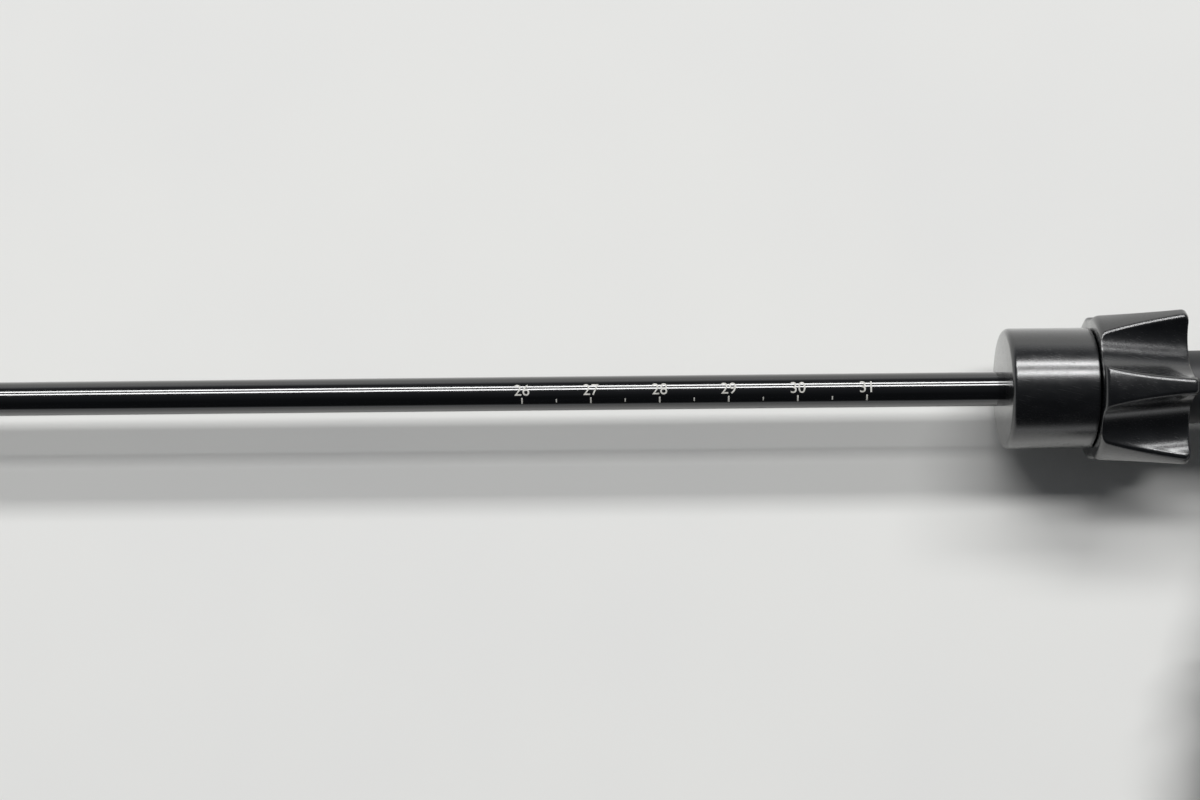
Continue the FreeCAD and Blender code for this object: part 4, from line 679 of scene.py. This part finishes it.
def bent_text(words, x):
    """A mesh of text, centred at x along the shaft and bent round it."""
    curve = bpy.data.curves.new("digits", "FONT")
    curve.body, curve.size, curve.extrude = words, DIGIT_SIZE, INK_FILM / 2
    curve.align_x, curve.align_y, curve.resolution_u = "CENTER", "CENTER", 6
    carrier = bpy.data.objects.new("digits", curve)
    bpy.context.scene.collection.objects.link(carrier)
    graph = bpy.context.evaluated_depsgraph_get()
    mesh = bpy.data.meshes.new_from_object(carrier.evaluated_get(graph))
    bpy.data.objects.remove(carrier)
    build = bmesh.new()
    build.from_mesh(mesh)
    bmesh.ops.remove_doubles(build, verts=build.verts, dist=WELD)
    low, high = (pick(v.co.y for v in build.verts) for pick in (min, max))
    level = low + STRIP
    while level < high:
        bmesh.ops.bisect_plane(build, geom=build.verts[:] + build.edges[:] + build.faces[:],
                               plane_co=(0, level, 0), plane_no=(0, 1, 0))
        level += STRIP
    for vertex in build.verts:
        turn = (vertex.co.y + DIGIT_LIFT) / SHAFT_RADIUS
        radius = INK_RADIUS + INK_FILM / 2 + vertex.co.z
        vertex.co = Vector((x + vertex.co.x, radius * math.sin(turn), radius * math.cos(turn))) * MM
    build.to_mesh(mesh)
    build.free()
    return mesh


digits = bmesh.new()
for k in range(SCALE_MARKS):
    place = SCALE_START + k * SCALE_STEP
    digits.from_mesh(bent_text(str(round((place - TIP_PLACE) / 10)), place))
digits_mesh = bpy.data.meshes.new("scale_numbers")
digits.to_mesh(digits_mesh)
digits.free()
finished_piece("scale_numbers", digits_mesh, "insert", "ink", "sleeve_black")
print("numbers:", len(digits_mesh.polygons), "faces, tips at", round(TIP_PLACE, 1), "mm")

# %% [markdown]
# ## Finishes for the other pieces
# The rest of the solids already have the shape of the real pieces, so they stay and only get their
# finishes. Steel that slides or was turned is brighter than steel that was brushed flat.

# %% Give each node its finish
NODE_FINISHES = {
    "handle": ["fixed_handle", "thumb_lever", "post_insulator"],
    "neck": ["handle_neck"],
    "steel": ["upper_jaw", "lower_jaw", "jaw_fork", "ratchet_bar", "ratchet_pawl", "ball_socket",
              "shaft_hub"],
    "turned_steel": ["pivot_screw", "pivot_nut", "jaw_pivot_pin", "cam_pin", "drive_rod", "rod_ball",
                     "pawl_pin", "neck_pin", "socket_pin", "ratchet_rivets", "shaft_tube"],
    "spring": ["pawl_spring", "retaining_ring"],
    "brass": ["contact_block"],
    "nickel": ["current_post"],
    "white": ["neck_bush", "lever_bush"],
    "rubber": ["friction_ring"],
    "silicone": ["rod_seal"],
}
dressed = set()
for finish, names in NODE_FINISHES.items():
    for name in names:
        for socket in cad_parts[name].material_slots:
            socket.material = finishes[finish]
        dressed.add(name)
print("nodes without a finish:", sorted(set(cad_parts) - dressed - {"collar", "rotation_knob",
                                                                          "insulation_sleeve"}))

# %% [markdown]
# ## The studio
# The instrument lies flat on a pale table, and the camera looks straight down at the knob end. Two
# long narrow soft boxes stand on the far side, one above the other: a black glossy cylinder shows
# them as two bright lines, and shows the pale table along its lower and upper edges. The boxes are
# large and far away, so that the table is lit evenly. The room is pale at the horizon and dark
# overhead, so that black stays black, and a little lighter towards the boxes.

# %% Table
floor_mesh = bpy.data.meshes.new("table_top")
reach, level = 6.0, cad_low.z     # metres
floor_mesh.from_pydata([(-reach, -reach, level), (reach, -reach, level), (reach, reach, level),
                        (-reach, reach, level)], [], [(0, 1, 2, 3)])
table_top = bpy.data.objects.new("table_top", floor_mesh)
bpy.context.scene.collection.objects.link(table_top)
material, tree, shader, place = start_finish("pale_studio_paper", Roughness=0.9, IOR=1.4)
tree.links.new(blend_colours(tree, spread(tree, clouds(tree, place, 60.0), 0.0, 1.0), "#e9e9e7", "#ecece9"),
               shader.inputs["Base Color"])
floor_mesh.materials.append(material)
print("table at", round(level / MM, 2), "mm")


# %% Lamps
STRIP_LENGTH, STRIP_WIDTH, STRIP_DISTANCE, STRIP_POWER = 2.6, 0.28, 2.4, 36.0
STRIP_MIDDLE = -0.09     # along the shaft


def strip_box(name, tilt):
    """A soft box along the shaft: tilt degrees from overhead towards the far side."""
    lamp = bpy.data.lights.new(name, "AREA")
    lamp.shape, lamp.size, lamp.size_y = "RECTANGLE", STRIP_LENGTH, STRIP_WIDTH
    lamp.energy = STRIP_POWER
    stand = bpy.data.objects.new(name, lamp)
    lean = math.radians(tilt)
    stand.location = (STRIP_MIDDLE, STRIP_DISTANCE * math.sin(lean), STRIP_DISTANCE * math.cos(lean))
    stand.rotation_euler = (-lean, 0, 0)
    bpy.context.scene.collection.objects.link(stand)
    return stand


strip_box("upper_strip", tilt=29.0)
strip_box("lower_strip", tilt=47.0)

world = bpy.data.worlds.new("plain_room")
bpy.context.scene.world = world
world.use_nodes = True
room = world.node_tree
room.nodes.clear()
heading = add_node(room, "ShaderNodeTexCoord").outputs["Generated"]
towards = add_node(room, "ShaderNodeSeparateXYZ", {"Vector": heading}).outputs
far_side = spread(room, towards["Y"], 0.0, 1.0, start=-0.45, end=0.25)
overhead = spread(room, towards["Z"], 0.0, 1.0, start=0.08, end=0.3)
wall = blend_colours(room, far_side, "#2b2c2e", "#55575a")
light = blend_colours(room, overhead, "#dfe0e1", wall)
sky = add_node(room, "ShaderNodeBackground", {"Color": light, "Strength": 1.0})
add_node(room, "ShaderNodeOutputWorld", {"Surface": sky.outputs[0]})
print("two strips and a plain room")

# %% Camera
CAMERA_PLACE = (-0.0534, -0.0025, 0.2925)     # metres
CAMERA_TURNS = (1.04, 0.29, -0.58)            # degrees of yaw, pitch and roll
camera_data = bpy.data.cameras.new("camera")
camera_data.sensor_width, camera_data.lens = 36.0, 60.0
camera_data.clip_start, camera_data.clip_end = 0.01, 20.0
camera = bpy.data.objects.new("camera", camera_data)
yaw, pitch, roll = (math.radians(a) for a in CAMERA_TURNS)
camera.matrix_world = (Matrix.Translation(CAMERA_PLACE)
                       @ Matrix.Rotation(yaw, 4, "Y") @ Matrix.Rotation(pitch, 4, "X")
                       @ Matrix.Rotation(roll, 4, "Z"))
bpy.context.scene.collection.objects.link(camera)
bpy.context.scene.camera = camera
bpy.context.scene.view_settings.view_transform = "Standard"
print("camera", round(camera_data.lens), "mm lens,", round(camera.location.z / MM), "mm above the shaft")
